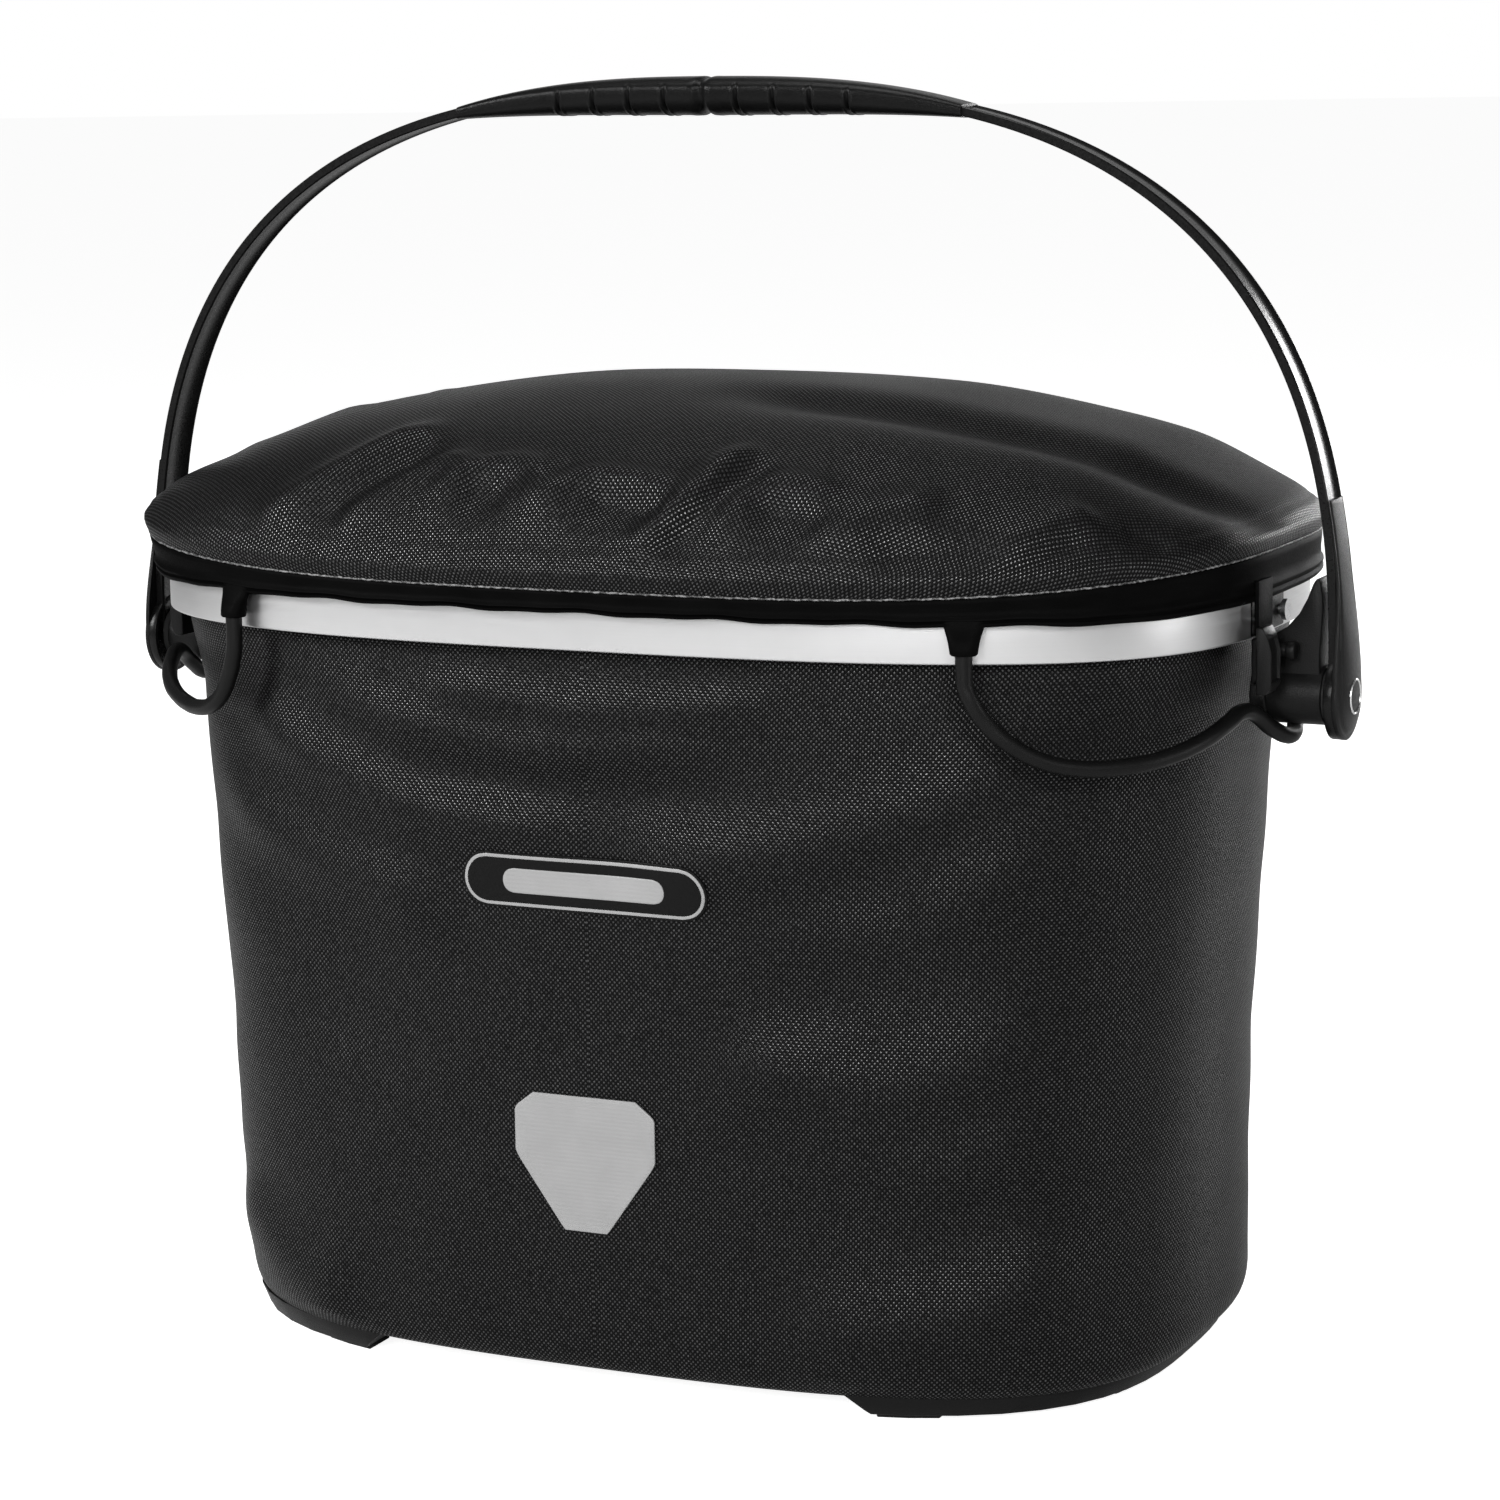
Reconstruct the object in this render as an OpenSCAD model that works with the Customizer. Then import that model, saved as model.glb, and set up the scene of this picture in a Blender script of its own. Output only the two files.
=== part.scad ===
// Handlebar basket: an oval aluminium rim carries a fabric bag, a swinging carry bow,
// a soft lift-off cover held by two elastic loops, two base stands and a rear adapter plate.
// Origin: centre of the footprint on the ground. +Z up, +X to the right, -Y to the front.
// Offsets of an oval are measured outward from the rim's outer face.

/* [Rim] */
// Overall width of the aluminium rim
rim_w = 400; // [330:5:480]
// Overall depth of the aluminium rim
rim_d = 250; // [210:5:310]
// Height of the rim's lower edge above the ground
rim_h = 255; // [200:5:310]
// Height of the rim band
band_h = 22; // [21:0.5:30]
// Thickness of the rim band's wall
band_t = 3; // [2:0.25:4]
// Squareness of the oval outline
oval_n = 3.0; // [2.6:0.1:3.4]

/* [Bag] */
// How much narrower the bag's floor is than the rim
taper_w = 44; // [20:1:60]
// How much less deep the bag's floor is than the rim
taper_d = 10; // [4:1:30]
// Thickness of the bag's wall
bag_t = 2; // [1.5:0.25:2.5]
// Thickness of the fabric floor
floor_t = 1.6; // [1:0.1:3]
// Thickness of the stiff board inside the floor
floor_board_t = 3; // [2:0.5:5]
// Width of the stiff board inside the back
back_board_w = 126; // [116:2:128]
// Height of the stiff board inside the back
back_board_h = 130; // [115:5:160]
// Thickness of the stiff board inside the back
back_board_t = 3; // [2:0.5:5]

/* [Patches] */
// Width of the reflective patch
reflector_w = 52; // [40:1:70]
// Height of the reflective patch
reflector_h = 46.5; // [36:0.5:60]
// Depth of the reflective patch's top edge below the rim's lower edge
reflector_drop = 151; // [120:1:170]
// Length of the badge patch
badge_w = 88; // [60:1:100]
// Height of the badge patch
badge_h = 19; // [14:0.5:26]
// Depth of the badge's middle below the rim's lower edge
badge_drop = 79; // [60:1:100]
// Thickness of both patches
patch_t = 1; // [0.6:0.1:1.5]

/* [Base] */
// Height of the base stands, without their pads
stand_h = 7.5; // [6.5:0.5:12]
// Width of the base stands' curved bar
stand_w = 18; // [16:0.5:22]
// Thickness of the rubber pads
pad_h = 2; // [1.5:0.25:4]
// Diameter of the base screws
base_screw_d = 4; // [3:0.5:5]

/* [Bow] */
// Rise of the bow from its leg tops to the middle of its bar at the grip
bow_rise = 188.5; // [160:2:230]
// Thickness of the bow's flat bar
bow_t = 3.2; // [2.5:0.1:4]
// Width of the bow's flat bar at its discs
bow_leg_w = 17; // [14:0.5:20]
// Width of the bow's flat bar at the grip
bow_top_w = 14.5; // [12:0.5:16]
// Length of the grip, which thins out to the bar at both ends
grip_len = 190; // [160:5:200]
// Thickness of the grip, front to back
grip_w = 21; // [18:0.5:26]
// Spacing of the finger grooves
groove_pitch = 13.6; // [12:0.2:15]

/* [Hinge] */
// Distance of the hinge line in front of the rim's centre line
hinge_fwd = 11; // [0:1:16]
// Depth of the hinge line below the rim's lower edge
hinge_drop = 20; // [18:1:28]
// Reach of the hinge boss beyond the rim's outer face
boss_reach = 21; // [18:1:30]
// Diameter of the hinge boss
boss_d = 20; // [19:0.5:24]
// Diameter of the pivot bolt
pivot_d = 8; // [6:0.5:9]
// Radial clearance of the bow on its pivot bolt
pivot_gap = 0.05; // [0.02:0.01:0.1]
// Diameter of the bow's end discs
disc_d = 29; // [26:0.5:34]
// Bulge of the end caps beyond the discs
cap_t = 4.5; // [4:0.5:8]

/* [Cover] */
// Rise of the soft cover above its front seam
dome_h = 62; // [40:1:75]
// Thickness of the cover's fabric
cover_t = 2; // [1.5:0.25:3]
// How much higher the seam runs at the two ends
seam_rise = 8; // [2:0.5:10]
// Height of the hem's skirt below its front seam
hem_h = 7; // [6:0.5:8]
// Thickness of the hem
hem_t = 3; // [2.5:0.25:4]
// Diameter of the elastic loop cord
cord_d = 5.6; // [4:0.2:6]

/* [Adapter] */
// Width of the rear adapter plate
adapter_w = 110; // [96:1:120]
// Height of the rear adapter plate
adapter_h = 92; // [80:1:110]
// Thickness of the rear adapter plate
adapter_t = 5; // [4:0.5:7]
// Width of the tongue that slides up into the adapter
tongue_w = 42; // [34:1:48]
// Thickness of the tongue that slides up into the adapter
tongue_t = 5; // [4:0.5:6]
// Running clearance round the tongue
tongue_gap = 0.5; // [0.3:0.1:1]
// Diameter of the adapter screws
adapter_screw_d = 5; // [4:0.5:6]

/* [Hidden] */
$fn = 48;
seg = 72;
clear = 0.3;
big = 2 * rim_w;
hex = 6;

// Rim: the keder channel fills the band's upper part
channel_z = 12;
channel_w = 5.5;
channel_wall = 1.5;
slot_gap = 0.1;
keder_gap = 0.2;
shelf_t = 2;
slot_w = bag_t + 2 * slot_gap;
lip_reach = band_t + channel_w - slot_w;
channel_in = band_t + channel_w;
splice_w = 70;
splice_t = 2;
splice_rivets_x = [-25, -10, 10, 25];
rivet_d = 4;
rivet_head_t = 1.2;
rivet_tail_t = channel_w - slot_gap - bag_t - clear - splice_t - slot_gap;
rivet_z = channel_z / 2;

// Bag: the wall hangs from the keder and tapers to the floor
bag_top_in = band_t + channel_w - slot_gap - bag_t;
bag_top_z = channel_z + channel_wall;
floor_z = pad_h + stand_h - rim_h;
bag_drop = -floor_z;
corner_in = 8;
corner_h = 10;
flat_in = 9;
flat_y = rim_d / 2 - flat_in;
flat_from_z = -8;
patch_gap = 0.15;

// Cover and hem
hem_gap = 0.4;
hem_z = band_h - hem_h - shelf_t;
seam_z = hem_z + hem_h;
hem_out = hem_gap + hem_t;
tunnel_wall = 0.8;
tunnel_h = 2;
tab_x = 132;
tab_w = 12;
tab_h = 9.5;
tab_in = 1;
tab_t = 2.2;
ferrule_d = 7;
ferrule_h = 7.5;
ferrule_x = tab_x + 1.5;
ferrule_out = 4.36;

// Bow, hinge and caps
hinge_y = -hinge_fwd;
hinge_z = -hinge_drop;
leg_top_z = hinge_z + 9.7;
boss_x0 = rim_w / 2 - band_t;
boss_x1 = rim_w / 2 + boss_reach;
washer_t = 1.9;
bow_in_x = boss_x1 + washer_t + touch_gap();
bow_x = bow_in_x + bow_t / 2;
bow_out_x = bow_in_x + bow_t;
bow_mx = 2.72;
bow_mz = 2.51;
bow_steps = 64;
grip_over = 3;
grip_under = 7.1;
grooves = 9;
groove_r = 1.6;
groove_depth = 1.4;
grip_end_t = 0.7;
grip_end_side = 1;
bolt_head_d = 13;
bolt_head_t = 3;
nut_flats = 13;
nut_t = 5;
nut_room = 0.6;
cap_top_z = 45;
cap_half_w = bow_leg_w / 2 - 0.5;
pad_half = 17;
pad_t = 3.4;
nut_plate_t = 2.4;
bracket_screw_d = 4;
bracket_head_x = rim_w / 2 + pad_t - 2;

// Base: the stands run round both ends under the floor
stand_in = 8;
stand_from_x = 85;
stand_slant = 10;
pad_x = [96, 116];
pad_y = [31, 52];
pad_in = 2.5;
screw_head_h = 2.6;
screw_x = 125;

// Adapter
adapter_drop = 13;
adapter_screw_x = 42;
adapter_screw_z = [13, 79];
rail_lip = 6;
rail_wall = 6;
rail_lip_t = 3;
rail_depth = tongue_t + 2 * tongue_gap;

// Origin: the footprint's centre lies midway between the hem's front and the adapter's back
front_y = rim_d / 2 + hem_out;
rear_y = flat_y + adapter_t + rail_depth + rail_lip_t;
centre_y = (front_y - rear_y) / 2;

// Route of the right-hand elastic loop, from the front tab to the rear one, about the rim's centre
LOOP_RIGHT = [
    [133.5, -116, -5], [135.5, -115.5, -10], [139, -113.5, -17], [146, -110, -24.5],
    [155, -104.5, -30.5], [165, -97.5, -33.5], [176, -88, -34], [186, -76, -32.5],
    [194, -62, -29], [198, -47, -25], [199, -36, -23], [200.5, -28, -24.5],
    [204.5, -20.5, -30.5], [208, -11, -34.2], [206.5, -1, -31], [203, 9, -27.5],
    [201, 22, -26], [199.5, 38, -28], [196, 54, -31.5], [189, 71, -34],
    [179, 85, -35], [168, 95.5, -34.5], [157, 103.5, -31.5], [147, 109.5, -25.5],
    [139, 113.5, -17], [135.5, 115.5, -10], [133.5, 116, -5]
];
// Route of the left-hand loop, mirrored: it is pulled tighter round the corner than the other
LOOP_LEFT = [
    [133.5, -116, -5], [134.5, -115.6, -10], [137, -114.6, -17], [141, -113, -23.5],
    [147, -110.5, -28], [155, -106, -30], [164, -99, -30], [173.5, -90, -29],
    [182.5, -79.5, -27.5], [190.5, -68, -25.5], [197.5, -55.5, -23.5], [203.5, -43, -22],
    [208, -32, -23.5], [210, -21.5, -29.5], [210.5, -11, -34.2], [208, -1, -31.5],
    [204, 9, -28], [201, 22, -26], [199.5, 38, -28], [196, 54, -31.5], [189, 71, -34],
    [179, 85, -35], [168, 95.5, -34.5], [157, 103.5, -31.5], [147, 109.5, -25.5],
    [139, 113.5, -17], [135.5, 115.5, -10], [133.5, 116, -5]
];

function touch_gap() = 0.1;

// Outline of the rim's oval, moved outward by o
function oval_ab(a, b) = [
    for (i = [0 : seg - 1])
        let (t = 360 * i / seg)
        let (r = pow(pow(abs(cos(t)), oval_n) + pow(abs(sin(t)), oval_n), -1 / oval_n))
        [a * r * cos(t), b * r * sin(t)]
];
function oval(o) = oval_ab(rim_w / 2 + o, rim_d / 2 + o);

// Front-to-back half depth of the rim's oval, moved outward by o, at a given x
function oval_y(o, x) =
    (rim_d / 2 + o) * pow(1 - pow(abs(x) / (rim_w / 2 + o), oval_n), 1 / oval_n);

// Share of the bag's taper that is used up at height z
function taper_at(z) = lookup(-z / bag_drop, [
    [0.02, 0], [0.1, 0.33], [0.3, 0.56], [0.6, 0.88], [0.95, 1]
]);
function bag_a(z) = rim_w / 2 - bag_top_in - taper_at(z) * (taper_w / 2 - bag_top_in);
function bag_b(z) = rim_d / 2 - bag_top_in - taper_at(z) * (taper_d / 2 - bag_top_in);
function corner_at(z) = lookup(z - floor_z, [[0, corner_in], [corner_h * 0.3, corner_in * 0.35],
    [corner_h, 0]]);

// Ring of the bag's wall at height z, moved outward by o; the back is held flat by its board
function bag_ring(z, o) = [
    for (p = oval_ab(bag_a(z) - corner_at(z) + o, bag_b(z) - corner_at(z) + o))
        [p.x, z < flat_from_z ? min(p.y, flat_y + o) : p.y, z]
];
function bag_heights() = [
    bag_top_z, flat_from_z / 2, 1.5 * flat_from_z,
    for (k = [0.1, 0.2, 0.3, 0.45, 0.6, 0.8]) -k * bag_drop,
    floor_z + corner_h, floor_z + corner_h * 0.3, floor_z
];
function reversed(v) = [for (i = [len(v) - 1 : -1 : 0]) v[i]];

// Solid skin through a list of rings with equal numbers of points; a loop closes on its first ring
module loft(rings, loop = false) {
    n = len(rings[0]);
    m = len(rings);
    last = loop ? m - 1 : m - 2;
    sides = [
        for (j = [0 : last], i = [0 : n - 1])
            let (a = j * n + i, b = j * n + (i + 1) % n)
            let (c = ((j + 1) % m) * n + (i + 1) % n, d = ((j + 1) % m) * n + i)
            each [[a, c, b], [a, d, c]]
    ];
    ends = loop ? [] : [[for (i = [0 : n - 1]) i], [for (i = [n - 1 : -1 : 0]) (m - 1) * n + i]];
    polyhedron(points = [for (r = rings) each r], faces = concat(sides, ends));
}

// Everything is drawn about the rim's centre at its lower edge and then set in place
module placed() {
    translate([0, centre_y, rim_h]) children();
}
module mirrored_x() {
    children();
    mirror([1, 0, 0]) children();
}

// Band that follows the oval, between two offsets and two heights
module oval_band(o_out, o_in, z0, z1) {
    translate([0, 0, z0]) linear_extrude(z1 - z0) difference() {
        polygon(oval(o_out));
        polygon(oval(o_in));
    }
}
module oval_plate(a, b, z0, t) {
    translate([0, 0, z0]) linear_extrude(t) polygon(oval_ab(a, b));
}
module block(x0, x1, y0, y1, z0, z1) {
    translate([x0, y0, z0]) cube([x1 - x0, y1 - y0, z1 - z0]);
}
module rod_x(d, x0, x1, y, z) {
    translate([x0, y, z]) rotate([0, 90, 0]) cylinder(d = d, h = x1 - x0);
}
module rod_y(d, y0, y1, x, z) {
    translate([x, y0, z]) rotate([-90, 0, 0]) cylinder(d = d, h = y1 - y0);
}
module rod_z(d, z0, z1, x, y) {
    translate([x, y, z0]) cylinder(d = d, h = z1 - z0);
}

// ---- Rim ----
module rim_band() {
    color("silver") placed() difference() {
        union() {
            oval_band(0, -band_t, 0, band_h);
            oval_band(-band_t, -channel_in - channel_wall, band_h - shelf_t, band_h);
            oval_band(-channel_in, -channel_in - channel_wall, channel_z, band_h - shelf_t);
            oval_band(-band_t, -lip_reach, channel_z, channel_z + channel_wall);
        }
        for (x = splice_rivets_x) {
            rod_y(rivet_d + slot_gap, 0, rim_d, x, rivet_z);
        }
        bracket_screw_holes(bracket_screw_d + 2 * slot_gap);
    }
}
module splice_plate() {
    color("silver") placed() difference() {
        intersection() {
            oval_band(-band_t, -band_t - splice_t, 1.5, channel_z - 1.5);
            block(-splice_w / 2, splice_w / 2, 0, rim_d, 0, band_h);
        }
        for (x = splice_rivets_x) {
            rod_y(rivet_d + slot_gap, 0, rim_d, x, rivet_z);
        }
    }
}
module splice_rivets() {
    color("gainsboro") placed() for (x = splice_rivets_x) {
        inner_y = oval_y(-band_t - splice_t, x) - slot_gap;
        rod_y(rivet_d, inner_y, rim_d / 2, x, rivet_z);
        rod_y(rivet_d * 1.7, rim_d / 2, rim_d / 2 + rivet_head_t, x, rivet_z);
        rod_y(rivet_d * 1.5, inner_y - rivet_tail_t, inner_y, x, rivet_z);
    }
}

// ---- Bag ----
module bag_keder() {
    color("black") placed() oval_band(-band_t - keder_gap, -channel_in + keder_gap,
        bag_top_z, band_h - shelf_t - clear);
}
module bag_wall() {
    zs = bag_heights();
    color("#1c1c1e") placed() difference() {
        loft(concat([for (z = zs) bag_ring(z, 0)], [for (z = reversed(zs)) bag_ring(z, -bag_t)]), true);
        adapter_screw_holes(adapter_screw_d + 2 * clear);
    }
}
floor_a = bag_a(floor_z) - corner_in;
floor_b = bag_b(floor_z) - corner_in;
module bag_floor() {
    color("#1c1c1e") placed() difference() {
        oval_plate(floor_a - bag_t, floor_b - bag_t, floor_z, floor_t);
        base_screw_holes(base_screw_d + 2 * clear);
    }
}
module floor_board() {
    color("dimgray") placed() difference() {
        oval_plate(floor_a - bag_t, floor_b - bag_t, floor_z + floor_t, floor_board_t);
        base_screw_holes(base_screw_d + 2 * clear);
    }
}
module back_board() {
    top = -adapter_drop + 1;
    color("dimgray") placed() difference() {
        block(-back_board_w / 2, back_board_w / 2, flat_y - bag_t - back_board_t, flat_y - bag_t,
            top - back_board_h, top);
        adapter_screw_holes(adapter_screw_d + 2 * clear);
    }
}
// Front face of the bag at x and height z, moved outward by o
function front_at(x, z, o) =
    [x, -(bag_b(z) + o) * pow(1 - pow(abs(x) / (bag_a(z) + o), oval_n), 1 / oval_n), z];
// Patch that lies on the bag's front: each row is [height, half width], from the top down
module front_patch(rows) {
    columns = [-1 : 0.2 : 1];
    loft([
        for (r = rows) concat(
            [for (k = columns) front_at(k * r[1], r[0], patch_gap)],
            [for (k = columns) front_at(-k * r[1], r[0], patch_gap + patch_t)]
        )
    ]);
}
module reflector_patch() {
    w = reflector_w / 2;
    top = -reflector_drop;
    color("lightgray") placed() front_patch([
        [top - reflector_h, w * 0.32], [top - reflector_h * 0.73, w * 0.66],
        [top - reflector_h * 0.46, w], [top - reflector_h * 0.12, w], [top, w * 0.73]
    ]);
}
module badge_patch() {
    r = badge_h / 4;
    color("#2a2a2c") placed() front_patch([
        for (s = [-1, 1], t = s < 0 ? [90 : -30 : 0] : [0 : 30 : 90])
            [-badge_drop + s * (badge_h / 2 - r + r * sin(t)), badge_w / 2 - r + r * cos(t)]
    ]);
}

// ---- Base ----
stand_a = floor_a + corner_in - stand_in;
stand_b = floor_b + corner_in - stand_in + 2;
function stand_y(x, inset) =
    (stand_b - inset) * pow(1 - pow(x / (stand_a - inset), oval_n), 1 / oval_n);
base_screws_at = [
    [screw_x, stand_y(screw_x, stand_w / 2)],
    [stand_a - stand_w / 2, 0],
    [screw_x, -stand_y(screw_x, stand_w / 2)]
];
module base_screw_holes(d) {
    mirrored_x() for (p = base_screws_at) {
        rod_z(d, floor_z - stand_h - pad_h, floor_z + 20, p.x, p.y);
    }
}
module base_stand() {
    placed() difference() {
        intersection() {
            difference() {
                oval_plate(stand_a, stand_b, floor_z - stand_h, stand_h);
                oval_plate(stand_a - stand_w, stand_b - stand_w, floor_z - stand_h - 1, stand_h + 2);
            }
            rotate([90, 0, 0]) linear_extrude(big, center = true) polygon([
                [stand_from_x, floor_z], [stand_from_x + stand_slant, floor_z - stand_h],
                [rim_w, floor_z - stand_h], [rim_w, floor_z]
            ]);
        }
        base_screw_holes(base_screw_d + 2 * clear);
        for (p = base_screws_at) {
            rod_z(2 * base_screw_d, floor_z - stand_h - 1, floor_z - stand_h + screw_head_h, p.x, p.y);
        }
    }
}
module base_stand_right() {
    color("#151515") base_stand();
}
module base_stand_left() {
    color("#151515") mirror([1, 0, 0]) base_stand();
}
module foot_pads() {
    color("#202020") placed() mirrored_x() intersection() {
        difference() {
            oval_plate(stand_a - pad_in, stand_b - pad_in, floor_z - stand_h - pad_h, pad_h);
            oval_plate(stand_a - stand_w + pad_in, stand_b - stand_w + pad_in,
                floor_z - stand_h - pad_h - 1, pad_h + 2);
        }
        for (s = [-1, 1]) {
            block(pad_x[0], pad_x[1], s < 0 ? -rim_d : 0, s < 0 ? 0 : rim_d, floor_z - 20, floor_z);
            block(stand_a / 2, stand_a, s < 0 ? -pad_y[1] : pad_y[0], s < 0 ? -pad_y[0] : pad_y[1],
                floor_z - 20, floor_z);
        }
    }
}
module base_screws() {
    head_z = floor_z - stand_h;
    nut_z = floor_z + floor_t + floor_board_t;
    color("gray") placed() mirrored_x() for (p = base_screws_at) {
        rod_z(2 * base_screw_d - 2 * clear, head_z + slot_gap, head_z + screw_head_h, p.x, p.y);
        rod_z(base_screw_d, head_z + screw_head_h, nut_z + 4.5, p.x, p.y);
    }
}
module base_nuts() {
    nut_z = floor_z + floor_t + floor_board_t;
    color("gray") placed() mirrored_x() for (p = base_screws_at) {
        translate([p.x, p.y, nut_z]) difference() {
            cylinder(d = 2 * base_screw_d, h = 3.2, $fn = hex);
            translate([0, 0, -1]) cylinder(d = base_screw_d, h = 6);
        }
    }
}

// ---- Hinge brackets ----
module bracket_screw_holes(d) {
    mirrored_x() for (s = [-1, 1]) {
        rod_x(d, rim_w / 2 - 20, rim_w / 2 + 20, hinge_y + s * (pad_half - 5), rivet_z);
    }
}
module hinge_bracket() {
    web = pad_half - 10;
    placed() difference() {
        union() {
            intersection() {
                oval_band(pad_t, 0, clear, channel_z + clear);
                block(0, rim_w, hinge_y - pad_half, hinge_y + pad_half, 0, band_h);
            }
            translate([0, hinge_y, 0]) rotate([90, 0, 0]) linear_extrude(2 * web, center = true) polygon([
                [boss_x0, -clear], [rim_w / 2 + 1, -clear], [rim_w / 2 + 1, channel_z],
                [rim_w / 2 + 7, channel_z], [rim_w / 2 + 13, channel_z - 6], [boss_x1 - 6, -3],
                [boss_x1 - 2, hinge_z + boss_d / 4], [boss_x1 - 2, hinge_z], [boss_x0, hinge_z]
            ]);
            rod_x(boss_d, boss_x0, boss_x1, hinge_y, hinge_z);
        }
        rod_x(pivot_d + 2 * pivot_gap, boss_x0 - 1, boss_x1 + 1, hinge_y, hinge_z);
        translate([boss_x0 - 1, hinge_y, hinge_z]) rotate([0, 90, 0])
            cylinder(d = nut_flats + 2 * nut_room, h = nut_t + 1 + nut_room, $fn = hex);
        bracket_screw_holes(bracket_screw_d + 2 * slot_gap);
        for (s = [-1, 1]) {
            rod_x(2 * bracket_screw_d, bracket_head_x, boss_x1, hinge_y + s * (pad_half - 5), rivet_z);
        }
    }
}
module hinge_bracket_right() {
    color("#1a1a1a") hinge_bracket();
}
module hinge_bracket_left() {
    color("#1a1a1a") mirror([1, 0, 0]) hinge_bracket();
}
module bracket_screws() {
    color("gray") placed() mirrored_x() for (s = [-1, 1]) {
        y = hinge_y + s * (pad_half - 5);
        rod_x(bracket_screw_d, rim_w / 2 - band_t - nut_plate_t + slot_gap, bracket_head_x, y, rivet_z);
        rod_x(1.8 * bracket_screw_d, bracket_head_x, bracket_head_x + 1.6, y, rivet_z);
    }
}
module bracket_nut_plates() {
    color("gray") placed() mirrored_x() difference() {
        intersection() {
            oval_band(-band_t, -band_t - nut_plate_t, 1.5, channel_z - 1.5);
            block(0, rim_w, hinge_y - pad_half, hinge_y + pad_half, 0, band_h);
        }
        for (s = [-1, 1]) {
            rod_x(bracket_screw_d, rim_w / 2 - 20, rim_w / 2 + 20, hinge_y + s * (pad_half - 5), rivet_z);
        }
    }
}
module pivot_bolts() {
    color("gray") placed() mirrored_x() {
        rod_x(pivot_d, boss_x0 + 0.5, bow_out_x + touch_gap(), hinge_y, hinge_z);
        rod_x(bolt_head_d, bow_out_x + touch_gap(), bow_out_x + bolt_head_t, hinge_y, hinge_z);
    }
}
module pivot_nuts() {
    color("gray") placed() mirrored_x() translate([boss_x0 + nut_room, hinge_y, hinge_z])
        rotate([0, 90, 0]) difference() {
            cylinder(d = nut_flats, h = nut_t, $fn = hex);
            translate([0, 0, -1]) cylinder(d = pivot_d, h = nut_t + 2);
        }
}
module pivot_washers() {
    color("white") placed() mirrored_x() difference() {
        rod_x(boss_d - 1, boss_x1, boss_x1 + washer_t, hinge_y, hinge_z);
        rod_x(pivot_d + 2 * pivot_gap, boss_x1 - 1, boss_x1 + washer_t + 1, hinge_y, hinge_z);
    }
}

// ---- Adapter ----
module adapter_screw_holes(d) {
    mirrored_x() for (z = adapter_screw_z) {
        rod_y(d, flat_y - 20, flat_y + 20, adapter_screw_x, -adapter_drop - z);
    }
}
module adapter_plate() {
    y1 = flat_y + adapter_t;
    half = tongue_w / 2 + tongue_gap;
    bottom = -adapter_drop - adapter_h;
    color("#181818") placed() difference() {
        union() {
            block(-adapter_w / 2, adapter_w / 2, flat_y, y1, bottom, -adapter_drop);
            block(-half - rail_wall, half + rail_wall, y1, y1 + rail_depth + rail_lip_t,
                bottom, -adapter_drop - 6);
        }
        block(-half, half, y1, y1 + rail_depth, bottom - 1, -adapter_drop - 16);
        block(-half + rail_lip, half - rail_lip, y1, y1 + rail_depth + rail_lip_t + 1,
            bottom - 1, -adapter_drop - 16);
        adapter_screw_holes(adapter_screw_d + 2 * clear);
    }
}
module adapter_screws() {
    color("gray") placed() mirrored_x() for (z = adapter_screw_z) {
        rod_y(adapter_screw_d, flat_y - bag_t - back_board_t - 5.5, flat_y + adapter_t,
            adapter_screw_x, -adapter_drop - z);
        rod_y(1.9 * adapter_screw_d, flat_y + adapter_t, flat_y + adapter_t + 3,
            adapter_screw_x, -adapter_drop - z);
    }
}
module adapter_nuts() {
    color("gray") placed() mirrored_x() for (z = adapter_screw_z) {
        translate([adapter_screw_x, flat_y - bag_t - back_board_t, -adapter_drop - z])
            rotate([90, 0, 0]) difference() {
                cylinder(d = 2 * adapter_screw_d, h = 4, $fn = hex);
                translate([0, 0, -1]) cylinder(d = adapter_screw_d, h = 6);
            }
    }
}

// ---- Soft cover ----
function seam_at(p, o) = seam_z + seam_rise * pow(abs(p.x) / (rim_w / 2 + o), 3.5);
function dome_ring(s, o) = [
    for (p = oval(hem_out + o))
        let (z = seam_at(p, hem_out + o))
        [p.x * s, p.y * s, z + (seam_z + dome_h + o - z) * pow(1 - pow(s, 2.1), 0.45)]
];
dome_steps = [1, 0.99, 0.96, 0.9, 0.82, 0.72, 0.6, 0.45, 0.3, 0.15, 0.03];
module cover_dome() {
    color("#242426") placed() loft(concat(
        [for (s = reversed(dome_steps)) dome_ring(s, -cover_t)],
        [for (s = dome_steps) dome_ring(s, 0)]
    ));
}
module cover_hem() {
    function low(o) = [for (p = oval(o)) [p.x, p.y, hem_z]];
    function high(o) = [for (p = oval(o)) [p.x, p.y, seam_at(p, o)]];
    color("#111111") placed() difference() {
        loft([low(hem_out), low(hem_gap), high(hem_gap + hem_t - cover_t), high(hem_out)], true);
        oval_band(hem_out - tunnel_wall, hem_gap + tunnel_wall, hem_z + 1, hem_z + 1 + tunnel_h);
    }
}
module hem_elastic() {
    color("#303030") placed() oval_band(hem_out - tunnel_wall - slot_gap, hem_gap + tunnel_wall + slot_gap,
        hem_z + 1 + slot_gap, hem_z + 1 + tunnel_h - slot_gap);
}
module cord_tabs() {
    color("#101010") placed() intersection() {
        oval_band(tab_in + tab_t, tab_in, hem_z - tab_h, hem_z);
        mirrored_x() block(tab_x - tab_w / 2, tab_x + tab_w / 2, -rim_d, rim_d, -rim_h, rim_h);
    }
}
module cord_ferrules() {
    top = hem_z - tab_h;
    color("#181818") placed() mirrored_x() for (s = [-1, 1]) {
        rod_z(ferrule_d, top - ferrule_h, top, ferrule_x, s * oval_y(ferrule_out, ferrule_x));
    }
}
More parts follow.
